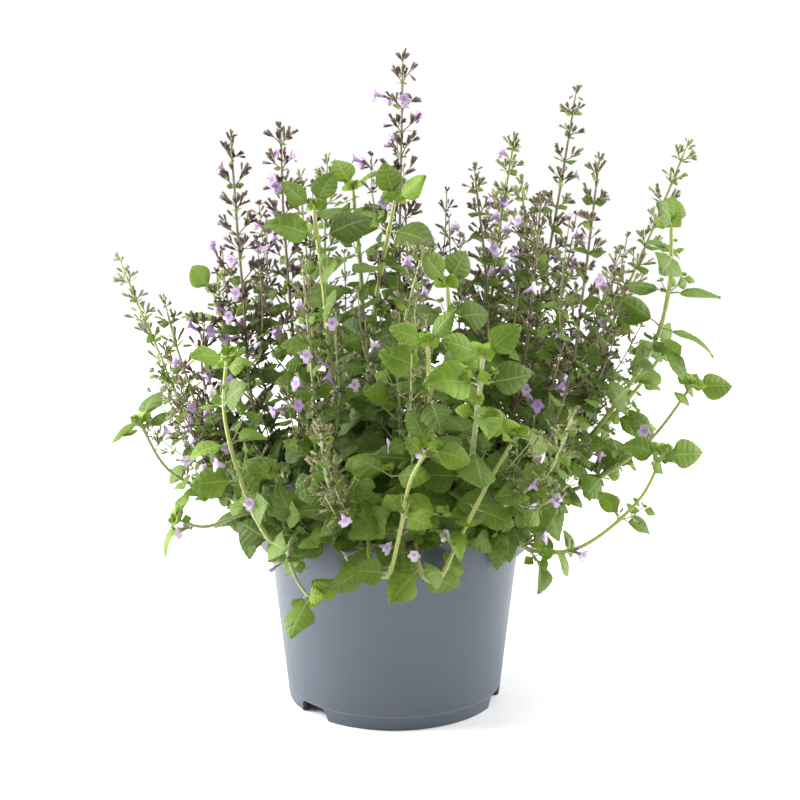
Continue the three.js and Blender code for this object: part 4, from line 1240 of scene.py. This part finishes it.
def grow_leaf_joints(growth, stem, step, between, rng):
    """The leaf pairs, the part's own and those between, and the side shoots out of their axils."""
    for leaf in stem.leaves:
        grow_leaf(growth, leaf, tint_at(stem, leaf.share, rng), rng)
    for share, turn, lift, size in stem.crowded:
        for more in (0, -20, 20, -40, 40):
            leaf = leaf_at(stem, share, turn, math.radians(lift + more), size * 0.85)
            if clear_of_pot(*leaf.balls()):
                grow_leaf(growth, leaf, tint_at(stem, share, rng), rng)
                break
    kind, trails = stem.kind, stem.kind_name == "trail"
    for i, share in enumerate(stem.leaf_shares):
        turn, short = (i % 2) * math.pi / 2, 1 - share
        if trails and stem.route.place(share)[2] < BARE_BEND:
            continue
        size = kind["long"] + (kind["short"] - kind["long"]) * i / max(1, len(stem.leaf_shares) - 1)
        if share < 0.97:
            chance = 0.45 if trails else 0.8
            grow_axils(growth, stem, share, turn, 7 + 24 * short, 6 + 10 * short, chance, rng)
        if share + step / 2 in between:
            share, turn = share + step / 2, turn + math.pi / 2
            size = size if stem.kind_name == "spike" else kind["long"]
            grow_between(growth, stem, share, size * 0.95, turn, rng)
            grow_axils(growth, stem, share, turn, 6 + 20 * short, 5 + 9 * short, 0.5, rng)


# Up to these heights a trailing stem that bends over the rim has no side shoots, and no flowers.
BARE_BEND, LOWEST_FLOWER = 117, 110
# A stem whose root is this far out sends low shoots over the rim, to this radius.
OUTER_ROOT, CROWN_REACH = 40, 94


def grow_crown(growth, stem, rng):
    """Low leafy shoots at the stem's foot, which hide the soil and hang over the rim."""
    foot = (ROOT_LENGTH + 6) / stem.length
    for i in range(2):
        share = foot + (stem.leaf_shares[0] - foot) * i / 2
        grow_axils(growth, stem, share, rng.uniform(0, math.pi), 32, 24, 0.6, rng)
    radius = math.hypot(*stem.root)
    for i in range(4 if radius > OUTER_ROOT else 0):
        place = stem.route.place(foot + i * 2 / stem.length)
        turn = math.atan2(stem.root[1], stem.root[0]) + (i - 1.5) * 0.7 + rng.uniform(-0.3, 0.3)
        way = unit(np.array([math.cos(turn), math.sin(turn), rng.uniform(0.35, 0.8)]))
        length = rng.uniform(0.8, 1.2) * (CROWN_REACH - radius)
        grow_side_shoot(growth, place, way, length, 23, tint_at(stem, 0.3, rng), rng, (-0.9, 0.4))


def grow_cymes(growth, way_at, shares, reaches, count, tint, flowers, bracts, rng):
    """Pairs of clusters, each over a small leaf, at shares of a stem's or a branch's length."""
    for i, (share, reach) in enumerate(zip(shares, reaches)):
        place, along, out_a, out_b = way_at(share)
        for way in (0, math.pi):
            out = turned(out_a, out_b, (i % 2) * math.pi / 2 + way + rng.uniform(-0.4, 0.4))
            ahead = unit(lifted(out, along, math.radians(rng.uniform(36, 56))))
            many = max(2, int(rng.integers(count - 2, count + 2) * (0.6 + reach / 40)))
            open_share = flowers if share < 0.9 else 0
            grow_cyme(growth, place, ahead, along, reach, many, tint, rng, open_share)
            size = bracts * (0.3 + 0.7 * (1 - share)) * rng.uniform(0.8, 1.1)
            bract = Leaf(place, unit(out + along * 0.5), along, size, 0.4)
            grow_leaf(growth, bract, rng.uniform(0.05, 0.5), rng, stalked=False)


def grow_branch(growth, stem, share, turn, length, lean, tint, flowers, rng):
    """A flowering side branch that rises beside its stem."""
    place, along, out_a, out_b = stem.frames(share)
    out = turned(out_a, out_b, turn)
    points = [place, place + out * length * 0.16 * lean + along * length * 0.16]
    points += [points[1] + (along + out * 0.22 * lean) * length * 0.35]
    points += [points[2] + (along + out * 0.05 + UP * 0.15) * length * 0.45]
    route = Route(points)
    low, high = (np.array(corner) / MM for corner in cad_box)
    if (points[3] < low + 4).any() or (points[3] > high - 4).any():
        return
    draw_twig(growth, route.place(np.linspace(0, 1, 9)), 0.62, 0.36, 0.4, STEM)

    def way_at(part):
        ahead = route.along(part)
        first = unit(np.cross(ahead, out + 0.3))
        return route.place(part), ahead, first, np.cross(ahead, first)

    for part in (0.2, 0.36):
        joint, ahead, first, second = way_at(part)
        for side in (first, -first):
            leaf = Leaf(joint, unit(side + ahead * 0.5), ahead, rng.uniform(9, 14), 3)
            grow_leaf(growth, leaf, tint_at(stem, part, rng), rng)
    parts = np.arange(0.4, 0.96, 10.5 / length)
    grow_cymes(growth, way_at, parts, 11 - 5 * parts, 5, tint, flowers * 1.2, 6, rng)
    for _ in range(6):
        way = unit(route.along(1) + rng.normal(0, 0.5, 3))
        grow_calyx(growth, points[3], way, rng.uniform(0.5, 0.8), tint * 0.8, rng)


# Side branches leave a stem from BRANCH_START on, one or two every BRANCH_STEP of its length. Those
# of the inner stems, which fill the bush's middle, are more and lean out further. Each row gives the
# last share of the length that one leaves at, how likely it is, how far it may turn aside, how much
# it leans, and the share of the stem's length that it reaches.
BRANCH_START, BRANCH_STEP, LONGEST_BRANCH, INNER_RADIUS, INNER_WIDTH = 0.24, 0.08, 75, 36, 22
BRANCHING = {
    "green": (0.5, 0.5, 0.8, 1, 0.85),
    "dark": (0.62, 0.75, 0.8, 1, 0.85),
    "inner": (0.66, 0.85, 0.45, 1.8, 1),
}


def grow_spike(growth, stem, cymes, ripe, rng):
    """The clusters up a flowering stem and its side branches."""
    flowers = IN_FLOWER[stem.tone] * (SUNNY_RIPENESS if stem.rings[-1][0] > SUNNY_SIDE else 1)
    wide, bracts, count = (25, 14, 11) if ripe > 0.8 else (18, 20, 9)
    reaches = [wide * (1 - 0.53 * (share - cymes[0]) / (1 - cymes[0])) for share in cymes]
    grow_cymes(growth, stem.frames, cymes, reaches, count, ripe, flowers, bracts, rng)
    inner = math.hypot(*stem.root) < INNER_RADIUS and abs(stem.root[0]) < INNER_WIDTH
    highest, chance, sway, lean, reach = BRANCHING["inner" if inner else stem.tone]
    for share in np.arange(BRANCH_START, highest, BRANCH_STEP):
        for way in (0, math.pi):
            if rng.random() < chance:
                length = min(LONGEST_BRANCH, (reach - share) * stem.length) * rng.uniform(0.6, 1)
                turn = way + rng.uniform(-sway, sway)
                grow_branch(growth, stem, share, turn, length, lean, ripe, flowers, rng)


def grow_tip(growth, stem, ripe, rng):
    """Buds close over a flowering stem's tip, and young leaves over the others'."""
    tip, along = stem.route.place(1.0), stem.route.along(1.0)
    if stem.kind["cymes"]:
        for _ in range(9):
            out = unit(along * rng.uniform(0.5, 1.6) + rng.normal(0, 0.55, 3))
            foot = tip - along * rng.uniform(0, 5) + out * rng.uniform(0.6, 2.2)
            grow_calyx(growth, foot, out, rng.uniform(0.5, 0.85), ripe * 0.8, rng)
    else:
        grow_tuft(growth, tip - along * 2, along, 8, 0.8, rng)
        grow_tuft(growth, tip - along * 5, along, 12, 0.7, rng)


def grow_trail_flowers(growth, stem, rng):
    """Single flowers, each beside a few buds, up a trailing stem."""
    for share in rng.uniform(0.3, 0.95, 4):
        place, along, out_a, out_b = stem.frames(share)
        out = turned(out_a, out_b, rng.uniform(0, 2 * math.pi))
        ahead = unit(out + along * 0.6 + UP * 0.3)
        reach = np.array([place + ahead * 12])
        if place[2] > LOWEST_FLOWER and clear_of_pot(reach, np.array([3.0])):
            grow_cyme(growth, place, ahead, along, 9, 3, 0.15, rng, 0.0)
            foot = place + ahead * 5
            draw_twig(growth, [place, foot], 0.3, 0.22, 0.5, TWIG, 3)
            grow_calyx(growth, foot, ahead, 1.0, 0.3, rng, rng.uniform(0, 0.25))


def grow_stem(stem):
    growth = Growth()
    rng = np.random.default_rng(700 + stem.index)
    ripe = RIPENESS[stem.tone] * (SUNNY_RIPENESS if stem.rings[-1][0] > SUNNY_SIDE else 1)
    shares = stem.leaf_shares
    step = shares[1] - shares[0] if len(shares) > 1 else 0.2
    between = [share + step / 2 for share in shares[:-1]]
    if stem.kind_name == "trail":
        between = [share for share in between if share < 0.6 or stem.rings[-1][2] > 215]
    cymes = []
    if stem.kind["cymes"]:
        cymes = list(np.arange(stem.kind["until"] - 0.1, 0.97, stem.kind["cymes"] / 2 / stem.length))
    stem.joints = shares + between + cymes
    draw_stem(growth, stem, rng)
    grow_leaf_joints(growth, stem, step, between, rng)
    grow_crown(growth, stem, rng)
    if cymes:
        grow_spike(growth, stem, cymes, ripe, rng)
    for calyx in stem.calyces:
        place = stem.route.place(calyx["share"])
        foot = place + calyx["ahead"] * max(1, calyx["size"] - 4.6)
        draw_twig(growth, [place, foot], 0.3, 0.2, 0.5, TWIG, 3)
        flower = rng.uniform(0.2, 1) if calyx["open"] and calyx["share"] < 0.95 else None
        grow_calyx(growth, foot, calyx["ahead"], 1.0, ripe, rng, flower)
    grow_tip(growth, stem, ripe, rng)
    if stem.kind_name == "trail":
        grow_between(growth, stem, 0.97, 19, 0.5, rng)
        grow_trail_flowers(growth, stem, rng)
    piece = growth.piece(
        f"calamint_stem_{stem.index + 1:02d}",
        [SKINS[stem.tone], SKINS["green"], blade, calyx_skin, petal, hair_skin],
    )
    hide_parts(f"stem_{stem.index + 1:02d}")


for stem in stems:
    grow_stem(stem)


# Studio: a plain pale floor under soft light from both sides and above, and the camera as it stood,
# about a metre in front of the rim and a little above it.
deselect_all()
bpy.ops.mesh.primitive_plane_add(size=2.6, location=(0, 0, 0))
floor = bpy.context.object
floor.name = "floor"
paper = new_material("white paper floor")
sheet = add_node(paper, "BsdfDiffuse", {"Color": (0.86, 0.86, 0.86, 1)})
add_node(paper, "OutputMaterial", {"Surface": sheet})
floor.data.materials.append(paper)

world = bpy.context.scene.world or bpy.data.worlds.new("studio")
bpy.context.scene.world = world
world.use_nodes = True
sky = world.node_tree.nodes["Background"]
sky.inputs["Color"].default_value = (1, 1, 1, 1)
seen = add_node(world, "LightPath").outputs["Is Camera Ray"]
glow = add_node(world, "MapRange", {0: seen, 3: 0.38, 4: 1.0})
world.node_tree.links.new(glow.outputs[0], sky.inputs["Strength"])


def soft_light(name, place, aim, size, power):
    light = bpy.data.lights.new(name, "AREA")
    light.shape, light.size, light.size_y, light.energy = "RECTANGLE", *size, power
    holder = bpy.data.objects.new(name, light)
    bpy.context.scene.collection.objects.link(holder)
    holder.location = place
    holder.rotation_euler = (Vector(aim) - Vector(place)).to_track_quat("-Z", "Y").to_euler()


soft_light("left softbox", (-1.2, 0.12, 0.6), (0, 0, 0.18), (0.9, 1.1), 50)
soft_light("right softbox", (1.25, 0.15, 0.66), (0, 0, 0.24), (0.8, 1.1), 31)
soft_light("top softbox", (0, 0.35, 2.3), (0, 0.35, 0), (3.0, 2.8), 76)

view = bpy.data.cameras.new("view")
view.lens, view.sensor_width = 85.7, 36
camera = bpy.data.objects.new("view", view)
bpy.context.scene.collection.objects.link(camera)
camera.location = (0.0034, -1.1, 0.438)
camera.rotation_euler = (math.radians(76.94), 0, 0)
bpy.context.scene.camera = camera
bpy.context.scene.view_settings.view_transform = "Standard"
